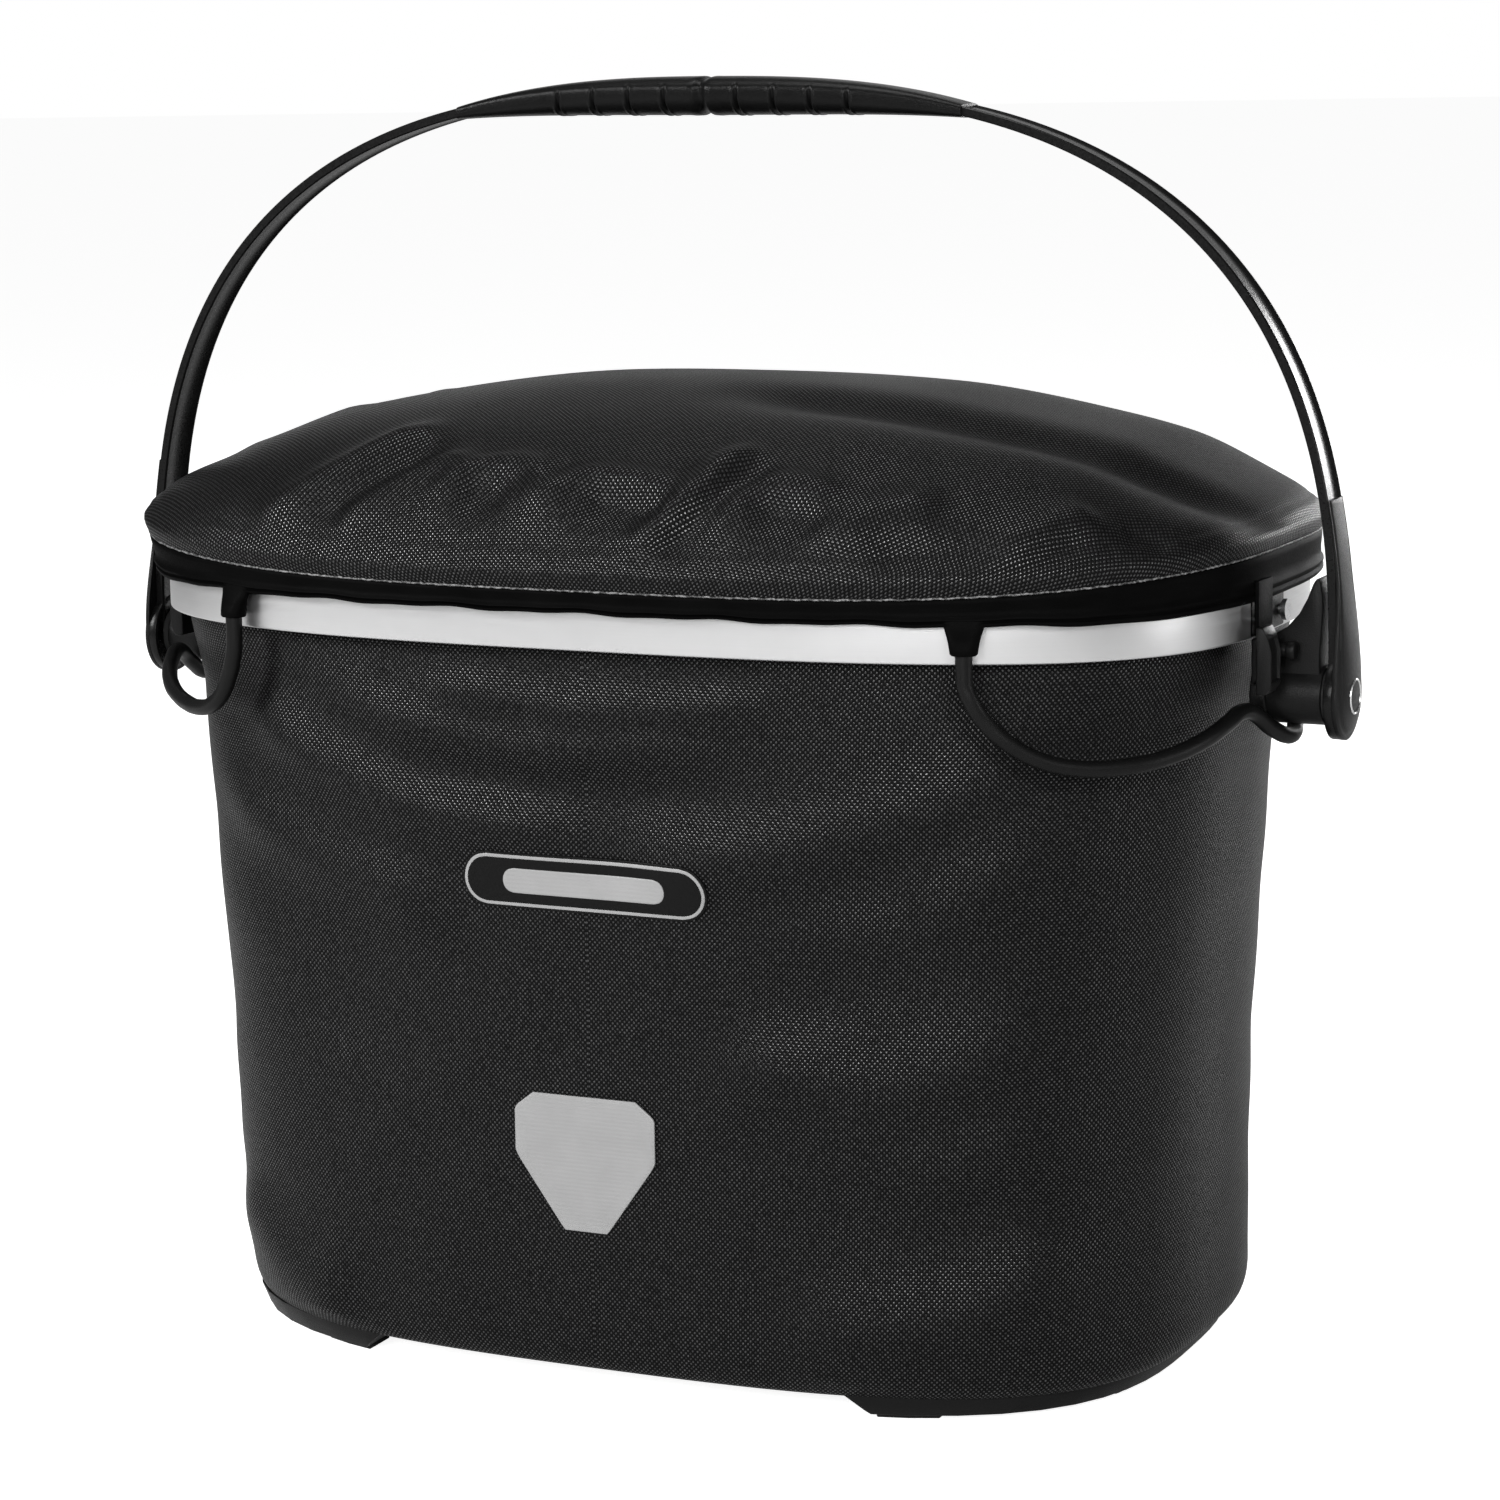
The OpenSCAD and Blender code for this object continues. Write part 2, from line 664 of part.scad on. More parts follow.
hook_y = [hinge_y - pad_half - 7, hinge_y - pad_half + 2];
hook_in = pad_t + 0.6;
module hook_straps() {
    color("#151515") placed() mirrored_x() intersection() {
        oval_band(hook_in + 1.5, hook_in, 2, seam_z);
        block(0, rim_w, hook_y[0], hook_y[1], -rim_h, rim_h);
    }
}
module cover_hook() {
    placed() intersection() {
        oval_band(hook_in + 5, hook_in, -17, 2);
        block(0, rim_w, hook_y[0], hook_y[1], -rim_h, rim_h);
        rotate([90, 0, 0]) linear_extrude(rim_d, center = true) polygon([
            [0, 2], [rim_w / 2 + hook_in + 1.5, 2], [rim_w / 2 + hook_in + 5, -3],
            [rim_w / 2 + hook_in + 5, -14], [rim_w / 2 + hook_in + 2, -17], [0, -17]
        ]);
    }
}
module cover_hook_right() {
    color("#1a1a1a") cover_hook();
}
module cover_hook_left() {
    color("#1a1a1a") mirror([1, 0, 0]) cover_hook();
}

// ---- Elastic loops ----
function unit(v) = v / norm(v);
function cord_ring(path, i, r) =
    let (ahead = path[min(i + 1, len(path) - 1)], behind = path[max(i - 1, 0)])
    let (t = i == 0 || i == len(path) - 1 ? [0, 0, i == 0 ? -1 : 1] : unit(ahead - behind))
    let (p = path[i], out = [p.x / pow(rim_w, 2), p.y / pow(rim_d, 2), 0])
    let (u = unit(out - t * (out * t)), v = cross(t, u))
    [for (k = [0 : 7]) p + r * (cos(45 * k) * u + sin(45 * k) * v)];
module elastic_loop(path) {
    placed() loft([for (i = [0 : len(path) - 1]) cord_ring(path, i, cord_d / 2)]);
}
module elastic_loop_right() {
    color("#0c0c0c") elastic_loop(LOOP_RIGHT);
}
module elastic_loop_left() {
    color("#0c0c0c") mirror([1, 0, 0]) elastic_loop(LOOP_LEFT);
}

// ---- Carry bow ----
// Point on the bow's arch at angle t, moved outward by o along the arch's normal
function arch(t) = [
    bow_x * sign(cos(t)) * pow(abs(cos(t)), 2 / bow_mx),
    leg_top_z + bow_rise * pow(sin(t), 2 / bow_mz)
];
function arch_at(t, o) =
    let (d = unit(arch(min(t + 0.5, 180)) - arch(max(t - 0.5, 0))))
    arch(t) + o * [d.y, -d.x];
function arch_line(o) = concat(
    [[bow_x + o, hinge_z]],
    [for (k = [1 : bow_steps - 1]) arch_at(180 * k / bow_steps, o)],
    [[-bow_x - o, hinge_z]]
);
module arch_band(o_out, o_in, w) {
    translate([0, hinge_y, 0]) rotate([90, 0, 0]) linear_extrude(w, center = true)
        polygon(concat(arch_line(o_out), reversed(arch_line(o_in))));
}
module bow_taper() {
    translate([0, hinge_y, 0]) rotate([90, 0, 90]) linear_extrude(big, center = true) polygon([
        [-bow_leg_w / 2, hinge_z], [bow_leg_w / 2, hinge_z],
        [bow_top_w / 2, leg_top_z + bow_rise * 0.95], [bow_top_w / 2, leg_top_z + bow_rise * 1.1],
        [-bow_top_w / 2, leg_top_z + bow_rise * 1.1], [-bow_top_w / 2, leg_top_z + bow_rise * 0.95]
    ]);
}
module carry_bow() {
    color("#17181a") placed() difference() {
        union() {
            intersection() {
                arch_band(bow_t / 2, -bow_t / 2, 2 * bow_leg_w);
                bow_taper();
            }
            mirrored_x() rod_x(disc_d, bow_in_x, bow_out_x, hinge_y, hinge_z);
        }
        mirrored_x() rod_x(pivot_d + 2 * pivot_gap, bow_in_x - 1, bow_out_x + 1, hinge_y, hinge_z);
    }
}
// Height of the bow's centre line above the rim's lower edge at a given x
function arch_z(x) = leg_top_z + bow_rise * pow(1 - pow(abs(x) / bow_x, bow_mx), 1 / bow_mz);
// The grip is thickest in the middle and thins out towards its ends
function swell(x, end, middle) = end + (middle - end) * (1 - pow(abs(x) / (grip_len / 2), 2.4));
function grip_under_z(x) = arch_z(x) - bow_t / 2 - swell(x, grip_end_t, grip_under);
module bow_grip() {
    along = [for (k = [-16 : 16]) k * grip_len / 32];
    color("#141414") placed() difference() {
        intersection() {
            translate([0, hinge_y, 0]) rotate([90, 0, 0]) linear_extrude(grip_w, center = true)
                polygon(concat(
                    [for (x = along) [x, arch_z(x) + bow_t / 2 + swell(x, grip_end_t, grip_over)]],
                    [for (x = reversed(along)) [x, grip_under_z(x)]]
                ));
            translate([0, hinge_y, 0]) linear_extrude(big) polygon(concat(
                [for (x = along) [x, swell(x, bow_top_w / 2 + grip_end_side, grip_w / 2)]],
                [for (x = reversed(along)) [x, -swell(x, bow_top_w / 2 + grip_end_side, grip_w / 2)]]
            ));
        }
        intersection() {
            arch_band(bow_t / 2, -bow_t / 2, 2 * bow_leg_w);
            bow_taper();
        }
        for (i = [0 : grooves - 1]) {
            x = (i - (grooves - 1) / 2) * groove_pitch;
            rod_y(2 * groove_r, hinge_y - grip_w, hinge_y + grip_w,
                x, grip_under_z(x) + groove_depth - groove_r);
        }
    }
}
module bow_cap() {
    placed() difference() {
        hull() {
            rod_x(disc_d, bow_out_x, bow_out_x + 1, hinge_y, hinge_z, $fn = 40);
            rod_x(disc_d * 0.72, bow_out_x, bow_out_x + cap_t, hinge_y, hinge_z, $fn = 40);
            block(bow_out_x - 6, bow_out_x - 2.6, hinge_y - cap_half_w, hinge_y + cap_half_w,
                cap_top_z - 2, cap_top_z);
        }
        intersection() {
            translate([0, hinge_y, 0]) rotate([90, 0, 0]) linear_extrude(big, center = true)
                polygon(arch_line(bow_t / 2));
            block(0, rim_w, -rim_d, rim_d, hinge_z, rim_w);
        }
        rod_x(disc_d + 2 * slot_gap, bow_out_x - 20, bow_out_x, hinge_y, hinge_z);
        rod_x(bolt_head_d + 4 * slot_gap, bow_out_x - 1, bow_out_x + bolt_head_t + slot_gap,
            hinge_y, hinge_z);
    }
}
module bow_cap_right() {
    color("#1b1b1d") bow_cap();
}
module bow_cap_left() {
    color("#1b1b1d") mirror([1, 0, 0]) bow_cap();
}
module cap_rings() {
    color("silver") placed() mirrored_x() difference() {
        rod_x(disc_d * 0.42, bow_out_x + cap_t, bow_out_x + cap_t + 0.5, hinge_y, hinge_z);
        rod_x(disc_d * 0.35, bow_out_x + cap_t - 1, bow_out_x + cap_t + 2, hinge_y, hinge_z);
    }
}

rim_band();
splice_plate();
splice_rivets();
bag_keder();
bag_wall();
bag_floor();
floor_board();
back_board();
base_stand_left();
base_stand_right();
foot_pads();
base_screws();
base_nuts();
hinge_bracket_left();
hinge_bracket_right();
bracket_screws();
bracket_nut_plates();
pivot_bolts();
pivot_nuts();
pivot_washers();
adapter_plate();
adapter_screws();
adapter_nuts();
reflector_patch();
badge_patch();
cover_dome();
cover_hem();
hem_elastic();
cord_tabs();
cord_ferrules();
hook_straps();
cover_hook_left();
cover_hook_right();
elastic_loop_left();
elastic_loop_right();
carry_bow();
bow_grip();
bow_cap_left();
bow_cap_right();
cap_rings();
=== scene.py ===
import math

import bpy
import numpy as np
from mathutils import Matrix, Vector
from mathutils.geometry import interpolate_bezier


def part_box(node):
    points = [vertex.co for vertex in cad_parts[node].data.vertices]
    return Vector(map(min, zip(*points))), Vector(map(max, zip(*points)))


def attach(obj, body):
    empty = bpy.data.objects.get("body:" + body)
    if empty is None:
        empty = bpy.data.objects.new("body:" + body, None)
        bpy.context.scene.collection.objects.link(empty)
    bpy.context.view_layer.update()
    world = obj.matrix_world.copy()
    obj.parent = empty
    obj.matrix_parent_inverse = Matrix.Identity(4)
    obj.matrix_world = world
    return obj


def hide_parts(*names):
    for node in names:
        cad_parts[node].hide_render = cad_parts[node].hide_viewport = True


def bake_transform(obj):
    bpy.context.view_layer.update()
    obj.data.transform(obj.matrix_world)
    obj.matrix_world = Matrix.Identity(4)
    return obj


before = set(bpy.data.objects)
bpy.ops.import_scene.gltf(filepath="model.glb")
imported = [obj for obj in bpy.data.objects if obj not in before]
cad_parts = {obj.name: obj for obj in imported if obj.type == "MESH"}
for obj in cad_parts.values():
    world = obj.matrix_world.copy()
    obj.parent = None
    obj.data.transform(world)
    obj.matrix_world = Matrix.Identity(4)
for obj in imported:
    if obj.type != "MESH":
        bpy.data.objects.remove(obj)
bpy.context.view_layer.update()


# ---- Camera ----
# A long lens on a tripod, turned to the right of the basket's front and a little above its rim.
# It aims a little above the middle of the bag, so the whole carry bow fits.
rim_low, rim_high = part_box("rim_band")
rim_centre = Vector(((rim_low[0] + rim_high[0]) / 2, (rim_low[1] + rim_high[1]) / 2, rim_low[2]))
camera_turn = math.radians(24.60)
camera_rise = math.radians(9.96)
camera_roll = math.radians(-0.84)
camera_offset = Vector((0.61822, -1.33727, 0.20522))

camera_data = bpy.data.cameras.new("tripod_camera")
camera_data.lens = 101.28
camera_data.sensor_width = 36
camera_data.clip_end = 20
tripod_camera = bpy.data.objects.new("tripod_camera", camera_data)
bpy.context.collection.objects.link(tripod_camera)
camera_axes = (
    Matrix.Rotation(camera_turn, 3, "Z")
    @ Matrix.Rotation(math.pi / 2 - camera_rise, 3, "X")
    @ Matrix.Rotation(camera_roll, 3, "Z")
)
tripod_camera.matrix_world = Matrix.Translation(rim_centre + camera_offset) @ camera_axes.to_4x4()
bpy.context.scene.camera = tripod_camera


# ---- Elastic loops ----
# Two loops of round black rubber cord hold the cover down. Each is sewn into the cover's front and rear
# tabs and runs back under the hinge boss, so it stretches when the cover is lifted off.
loop_cord_d = 0.0056
right_loop_route = [
    # (across, front to rear, up), from the front tab round under the boss to the rear tab
    (0.1335, -0.116, 0.0068), (0.1335, -0.116, -0.002), (0.1337, -0.1159, -0.006),
    (0.1355, -0.1155, -0.0105), (0.139, -0.1135, -0.017), (0.146, -0.110, -0.0245),
    (0.155, -0.1045, -0.0305), (0.165, -0.0975, -0.0335), (0.176, -0.088, -0.034),
    (0.186, -0.076, -0.0325), (0.194, -0.062, -0.029), (0.198, -0.047, -0.025),
    (0.199, -0.036, -0.023), (0.2005, -0.028, -0.0245), (0.2045, -0.0205, -0.0305),
    (0.208, -0.011, -0.0342), (0.2065, -0.001, -0.031), (0.203, 0.009, -0.0275),
    (0.201, 0.022, -0.026), (0.1995, 0.038, -0.028), (0.196, 0.054, -0.0315),
    (0.189, 0.071, -0.034), (0.179, 0.085, -0.035), (0.168, 0.0955, -0.0345),
    (0.157, 0.1035, -0.0315), (0.147, 0.1095, -0.0255), (0.139, 0.1135, -0.017),
    (0.1355, 0.1155, -0.0105), (0.1337, 0.1159, -0.006), (0.1335, 0.116, -0.002),
    (0.1335, 0.116, 0.0068),
]
# the left loop, mirrored, is pulled tighter round the corner and shares the right one's rear run
left_loop_route = [
    *right_loop_route[:3], (0.1345, -0.1156, -0.010), (0.137, -0.1146, -0.017),
    (0.141, -0.113, -0.0235), (0.147, -0.1105, -0.028), (0.155, -0.106, -0.030),
    (0.164, -0.099, -0.030), (0.1735, -0.090, -0.029), (0.1825, -0.0795, -0.0275),
    (0.1905, -0.068, -0.0255), (0.1975, -0.0555, -0.0235), (0.2035, -0.043, -0.022),
    (0.208, -0.032, -0.0235), (0.210, -0.0215, -0.0295), (0.2105, -0.011, -0.0342),
    (0.208, -0.001, -0.0315), (0.204, 0.009, -0.028), *right_loop_route[-13:],
]


def select_only(*objects):
    for each in bpy.context.selected_objects:
        each.select_set(False)
    for each in objects:
        each.select_set(True)
    bpy.context.view_layer.objects.active = objects[0]


def start_finish(name, colour, roughness, **sockets):
    """A new material, its node tree and its shader; the sockets are the shader's own constants."""
    finish = bpy.data.materials.new(name)
    finish.use_nodes = True
    tree = finish.node_tree
    shader = tree.nodes["Principled BSDF"]
    shader.inputs["Base Color"].default_value = (*colour, 1)
    shader.inputs["Roughness"].default_value = roughness
    for socket, value in sockets.items():
        shader.inputs[socket.replace("_", " ")].default_value = value
    return finish, tree, shader


def surface_place(tree, scale=(1, 1, 1), source="Object"):
    """Mapped coordinates of the piece: its own place in metres, or its UV map."""
    coordinate = tree.nodes.new("ShaderNodeTexCoord")
    mapping = tree.nodes.new("ShaderNodeMapping")
    mapping.inputs["Scale"].default_value = scale
    tree.links.new(coordinate.outputs[source], mapping.inputs["Vector"])
    return mapping.outputs["Vector"]


def grain(tree, place, scale, detail=3, roughness=0.55):
    noise = tree.nodes.new("ShaderNodeTexNoise")
    noise.inputs["Scale"].default_value = scale
    noise.inputs["Detail"].default_value = detail
    noise.inputs["Roughness"].default_value = roughness
    tree.links.new(place, noise.inputs["Vector"])
    return noise.outputs["Fac"]


def spread(tree, value, low, high, in_low=0.3, in_high=0.7):
    """A value from a texture, brought to the span from low to high."""
    span = tree.nodes.new("ShaderNodeMapRange")
    span.inputs["From Min"].default_value = in_low
    span.inputs["From Max"].default_value = in_high
    span.inputs["To Min"].default_value = low
    span.inputs["To Max"].default_value = high
    tree.links.new(value, span.inputs["Value"])
    return span.outputs["Result"]


def grey(value, blue=0.0):
    """A grey, with a little more blue where the material is cooler."""
    return value, value, value + blue


def tone(tree, value, dark, light):
    ramp = tree.nodes.new("ShaderNodeValToRGB")
    ramp.color_ramp.elements[0].color = (*dark, 1)
    ramp.color_ramp.elements[1].color = (*light, 1)
    tree.links.new(value, ramp.inputs["Fac"])
    return ramp.outputs["Color"]


def colour_and_gloss(tree, shader, patches, dark, light, fine, glossy, dull):
    """The piece's colour from one grain and its roughness from another."""
    tree.links.new(tone(tree, patches, dark, light), shader.inputs["Base Color"])
    tree.links.new(spread(tree, fine, glossy, dull), shader.inputs["Roughness"])


def relief(tree, shader, height, distance, strength=1.0, under=None):
    bump = tree.nodes.new("ShaderNodeBump")
    bump.inputs["Distance"].default_value = distance
    bump.inputs["Strength"].default_value = strength
    tree.links.new(height, bump.inputs["Height"])
    if under is not None:
        tree.links.new(under, bump.inputs["Normal"])
    tree.links.new(bump.outputs["Normal"], shader.inputs["Normal"])
    return bump.outputs["Normal"]


def finish_cord_rubber():
    """Matte black rubber with a fine dusty grain and faint clouding."""
    finish, tree, shader = start_finish("cord_rubber", grey(0.005), 0.5, Specular_IOR_Level=0.12)
    place = surface_place(tree)
    fine = grain(tree, place, 2600, 4)
    broad = grain(tree, place, 90, 2)
    colour_and_gloss(tree, shader, broad, grey(0.0014), grey(0.0035), fine, 0.34, 0.50)
    relief(tree, shader, fine, 0.00008, 0.6)
    return finish


cord_rubber = finish_cord_rubber()
for side, mirror, loop_route in (("right", 1, right_loop_route), ("left", -1, left_loop_route)):
    loop_curve = bpy.data.curves.new(f"elastic_loop_cord_{side}", "CURVE")
    loop_curve.dimensions = "3D"
    loop_curve.resolution_u = 5
    loop_curve.bevel_depth = loop_cord_d / 2
    loop_curve.bevel_resolution = 4
    loop_curve.use_fill_caps = True
    run = loop_curve.splines.new("BEZIER")
    run.bezier_points.add(len(loop_route) - 1)
    for knot, (x, y, z) in zip(run.bezier_points, loop_route):
        knot.co = rim_centre + Vector((mirror * x, y, z))
        knot.handle_left_type = "AUTO"
        knot.handle_right_type = "AUTO"
    loop_cord = bpy.data.objects.new(f"elastic_loop_cord_{side}", loop_curve)
    bpy.context.collection.objects.link(loop_cord)
    bpy.context.view_layer.update()
    centreline = []
    for knot, following in zip(run.bezier_points[:-1], run.bezier_points[1:]):
        between = (knot.co, knot.handle_right, following.handle_left, following.co)
        centreline += interpolate_bezier(*between, 9)[:-1]
    centreline.append(run.bezier_points[-1].co.copy())
    select_only(loop_cord)
    bpy.ops.object.convert(target="MESH")
    bpy.ops.object.shade_smooth_by_angle(angle=math.radians(60))
    loop_cord.data.materials.clear()
    loop_cord.data.materials.append(cord_rubber)
    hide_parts(f"elastic_loop_{side}")
    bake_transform(loop_cord)


# ---- Rim ----
# The rim is one bent length of anodised aluminium section, closed by a riveted plate at the back.
# Its top is folded inward into a channel that holds the bag's welt cord.
oval_squareness = 3.0
rim_half_w = (rim_high[0] - rim_low[0]) / 2
rim_half_d = (rim_high[1] - rim_low[1]) / 2
rim_section = [
    # (distance out from the rim's outer face, height), round the folded strip
    (0.0, 0.0), (0.0, 0.022), (-0.010, 0.022), (-0.010, 0.012), (-0.0085, 0.012), (-0.0085, 0.020),
    (-0.003, 0.020), (-0.003, 0.0135), (-0.0063, 0.0135), (-0.0063, 0.012), (-0.003, 0.012), (-0.003, 0.0),
]


def oval_angles(count):
    return [2 * math.pi * k / count for k in range(count)]


def oval_point(half_w, half_d, angle, squareness=oval_squareness):
    """Point of the squared oval with those half sizes, about its middle."""
    c, s = math.cos(angle), math.sin(angle)
    r = (abs(c) ** squareness + abs(s) ** squareness) ** (-1 / squareness)
    return half_w * r * c, half_d * r * s


def oval_path(out, count=288):
    return [oval_point(rim_half_w + out, rim_half_d + out, a) for a in oval_angles(count)]


def sweep_section(name, path, section, cyclic=True):
    """Runs a closed section (out, up) along a flat path, as a section drawn and bent round a form."""
    path_curve = bpy.data.curves.new(name, "CURVE")
    path_curve.dimensions = "2D"
    path_curve.fill_mode = "NONE"
    run = path_curve.splines.new("POLY")
    run.points.add(len(path) - 1)
    for knot, (x, y) in zip(run.points, path):
        knot.co = (x, y, 0, 1)
    run.use_cyclic_u = cyclic
    section_curve = bpy.data.curves.new(name + "_section", "CURVE")
    section_curve.dimensions = "2D"
    drawn = section_curve.splines.new("POLY")
    drawn.points.add(len(section) - 1)
    for knot, (out, up) in zip(drawn.points, section):
        knot.co = (-out, up, 0, 1)
    drawn.use_cyclic_u = True
    section_object = bpy.data.objects.new(name + "_section", section_curve)
    bpy.context.collection.objects.link(section_object)
    path_curve.bevel_mode = "OBJECT"
    path_curve.bevel_object = section_object
    path_curve.use_fill_caps = not cyclic
    swept = bpy.data.objects.new(name, path_curve)
    bpy.context.collection.objects.link(swept)
    select_only(swept)
    bpy.ops.object.convert(target="MESH")
    bpy.data.objects.remove(section_object)
    merge_and_face_out(swept)
    return swept


def merge_and_face_out(piece, distance=0.00001):
    select_only(piece)
    bpy.ops.object.mode_set(mode="EDIT")
    bpy.ops.mesh.select_all(action="SELECT")
    bpy.ops.mesh.remove_doubles(threshold=distance)
    bpy.ops.mesh.normals_make_consistent(inside=False)
    bpy.ops.object.mode_set(mode="OBJECT")


def move_mesh(piece, offset):
    piece.data.transform(Matrix.Translation(offset))
    piece.data.update()


def add_bevel(piece, width, segments=3, angle=30):
    bevel = piece.modifiers.new("edge_break", "BEVEL")
    bevel.width = width
    bevel.segments = segments
    bevel.limit_method = "ANGLE"
    bevel.angle_limit = math.radians(angle)
    bevel.harden_normals = False
    select_only(piece)
    bpy.ops.object.modifier_apply(modifier=bevel.name)


def smooth_by_angle(piece, angle=35):
    select_only(piece)
    bpy.ops.object.shade_smooth_by_angle(angle=math.radians(angle))


def finish_anodised():
    """Satin anodised aluminium: fine drawn lines along the band, faint clouding and handling marks."""
    finish, tree, shader = start_finish("anodised_rim", grey(0.70), 0.36, Metallic=1.0)
    drawn_lines = grain(tree, surface_place(tree, (6, 6, 900)), 4, 4)
    clouding = grain(tree, surface_place(tree), 22, 3)
    satin = grain(tree, surface_place(tree), 3500, 2)
    colour_and_gloss(tree, shader, clouding, grey(0.46, 0.005), grey(0.54), drawn_lines, 0.33, 0.46)
    under = relief(tree, shader, satin, 0.00004, 0.5)
    relief(tree, shader, drawn_lines, 0.00003, 0.4, under)
    return finish


anodised_rim = finish_anodised()
rim_profile = sweep_section("rim_profile", oval_path(0), rim_section)
move_mesh(rim_profile, rim_centre)
add_bevel(rim_profile, 0.0011, 4, 40)
smooth_by_angle(rim_profile, 50)
rim_profile.data.materials.append(anodised_rim)
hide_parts("rim_band")
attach(rim_profile, "basket")


def finish_steel():
    """Stainless steel fasteners with a fine brushed grain and faint patches."""
    finish, tree, shader = start_finish("steel_fastener", grey(0.50, 0.01), 0.3, Metallic=1.0)
    marks = grain(tree, surface_place(tree), 1800, 4)
    patches = grain(tree, surface_place(tree), 260, 2)
    colour_and_gloss(tree, shader, patches, grey(0.36, 0.01), grey(0.58), marks, 0.22, 0.42)
    relief(tree, shader, marks, 0.00005, 0.5)
    return finish


steel_fastener = finish_steel()


def give_finish(node, finish):
    """Puts a finish on a CAD node that stays as it is."""
    node_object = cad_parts[node]
    for slot in node_object.material_slots:
        slot.material = finish


give_finish("splice_plate", anodised_rim)
give_finish("splice_rivets", steel_fastener)


# ---- Bag ----
# The bag is coated weave, welded into one shell: it hangs from the welt in the rim's channel, sags in soft
# swags between the hinges and the front, and is drawn in round the stiff floor and the flat rear board.
weave_pitch = 0.00093
bag_floor_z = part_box("bag_floor")[0][2]
bag_thickness = 0.0014
bag_drop = rim_centre.z - bag_floor_z
bag_top_in = 0.0064
bag_taper_w = 0.044 / 2
bag_taper_d = 0.010 / 2
bag_flat_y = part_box("adapter_plate")[0][1] - rim_centre.y
bag_welt_z = 0.0135
bag_seam_z = -0.002
bag_roll_tall = 0.012
bag_roll_in = 0.0085
bag_droop = 0.0036
bag_floor_gap = 0.0006
bag_lean_left, bag_lean_right = -0.0028, 0.0012
cloth_ripple = 0.0004
board_gap = 0.0002
bag_around = 336
bag_rows = 80


def smooth_step(low, high, value):
    share = np.clip((value - low) / (high - low), 0, 1)
    return share * share * (3 - 2 * share)


def taper_share(depth):
    """Share of the bag's taper that is used up at that depth below the rim's lower edge."""
    down, share = zip((0.0, 0.0), (0.02, 0.0), (0.1, 0.33), (0.3, 0.56), (0.6, 0.88), (0.95, 1.0), (1.0, 1.0))
    return np.interp(depth / bag_drop, down, share)


def crease(points, places, width, height, fade=0.25):
    """A soft ridge or hollow along a bent line over a flat map of the cloth; all in metres."""
    points = np.array(points)
    near = np.full(len(places), np.inf)
    along = np.zeros(len(places))
    spans = np.linalg.norm(np.diff(points, axis=0), axis=1)
    total = spans.sum()
    start = 0.0
    for a, b, span in zip(points[:-1], points[1:], spans):
        t = np.clip(((places - a) @ (b - a)) / span**2, 0, 1)
        away = np.linalg.norm(places - (a + t[:, None] * (b - a)), axis=1)
        closer = away < near
        near = np.where(closer, away, near)
        along = np.where(closer, (start + t * span) / total, along)
        start += span
    ends = smooth_step(0, fade, along) * smooth_step(0, fade, 1 - along) if fade else 1.0
    return height * ends * np.exp(-0.5 * (near / width) ** 2)


def bend_line(*points, steps=10):
    """A smooth line through the given points."""
    knots = [Vector((*p, 0)) for p in points]
    line = []
    for k in range(len(knots) - 1):
        before = knots[max(k - 1, 0)]
        after = knots[min(k + 2, len(knots) - 1)]
        a, b = knots[k], knots[k + 1]
        for j in range(steps):
            t = j / steps
            line.append(
                0.5 * (2 * a + (b - before) * t + (2 * before - 5 * a + 4 * b - after) * t**2
                       + (3 * a - before - 3 * b + after) * t**3)
            )
    line.append(knots[-1])
    return [(p.x, p.y) for p in line]


def loft_sheet(name, rows, close_round=True, uv=None):
    """One continuous sheet through rows of points; uv gives each point's place on the flat cloth."""
    count = len(rows[0])
    sheet_mesh = bpy.data.meshes.new(name)
    verts = [tuple(p) for row in rows for p in row]
    last = count if close_round else count - 1
    faces = []
    for j in range(len(rows) - 1):
        for i in range(last):
            n = (i + 1) % count
            faces.append((j * count + i, j * count + n, (j + 1) * count + n, (j + 1) * count + i))
    sheet_mesh.from_pydata(verts, [], faces)
    if uv is not None:
        layer = sheet_mesh.uv_layers.new(name="cloth")
        for k, polygon in enumerate(sheet_mesh.polygons):
            j, i = divmod(k, last)
            corners = ((j, i), (j, i + 1), (j + 1, i + 1), (j + 1, i))
            for loop, (row, column) in zip(polygon.loop_indices, corners):
                layer.data[loop].uv = uv(row, column)
    piece = bpy.data.objects.new(name, sheet_mesh)
    bpy.context.collection.objects.link(piece)
    return piece


def thicken(piece, thickness, offset=-1.0):
    """Gives a sheet its thickness, inward from the surface that was drawn."""
    wall = piece.modifiers.new("wall", "SOLIDIFY")
    wall.thickness = thickness
    wall.offset = offset
    wall.use_even_offset = False
    select_only(piece)
    bpy.ops.object.modifier_apply(modifier=wall.name)


def split_axes(tree, place):
    split = tree.nodes.new("ShaderNodeSeparateXYZ")
    tree.links.new(place, split.inputs["Vector"])
    return split.outputs


def worked_out(tree, operation, a, b=None):
    """One step of arithmetic on the values of a pattern."""
    node = tree.nodes.new("ShaderNodeMath")
    node.operation = operation
    for socket, value in zip(node.inputs, (a, b)):
        if isinstance(value, (int, float)):
            socket.default_value = value
        elif value is not None:
            tree.links.new(value, socket)
    return node.outputs["Value"]


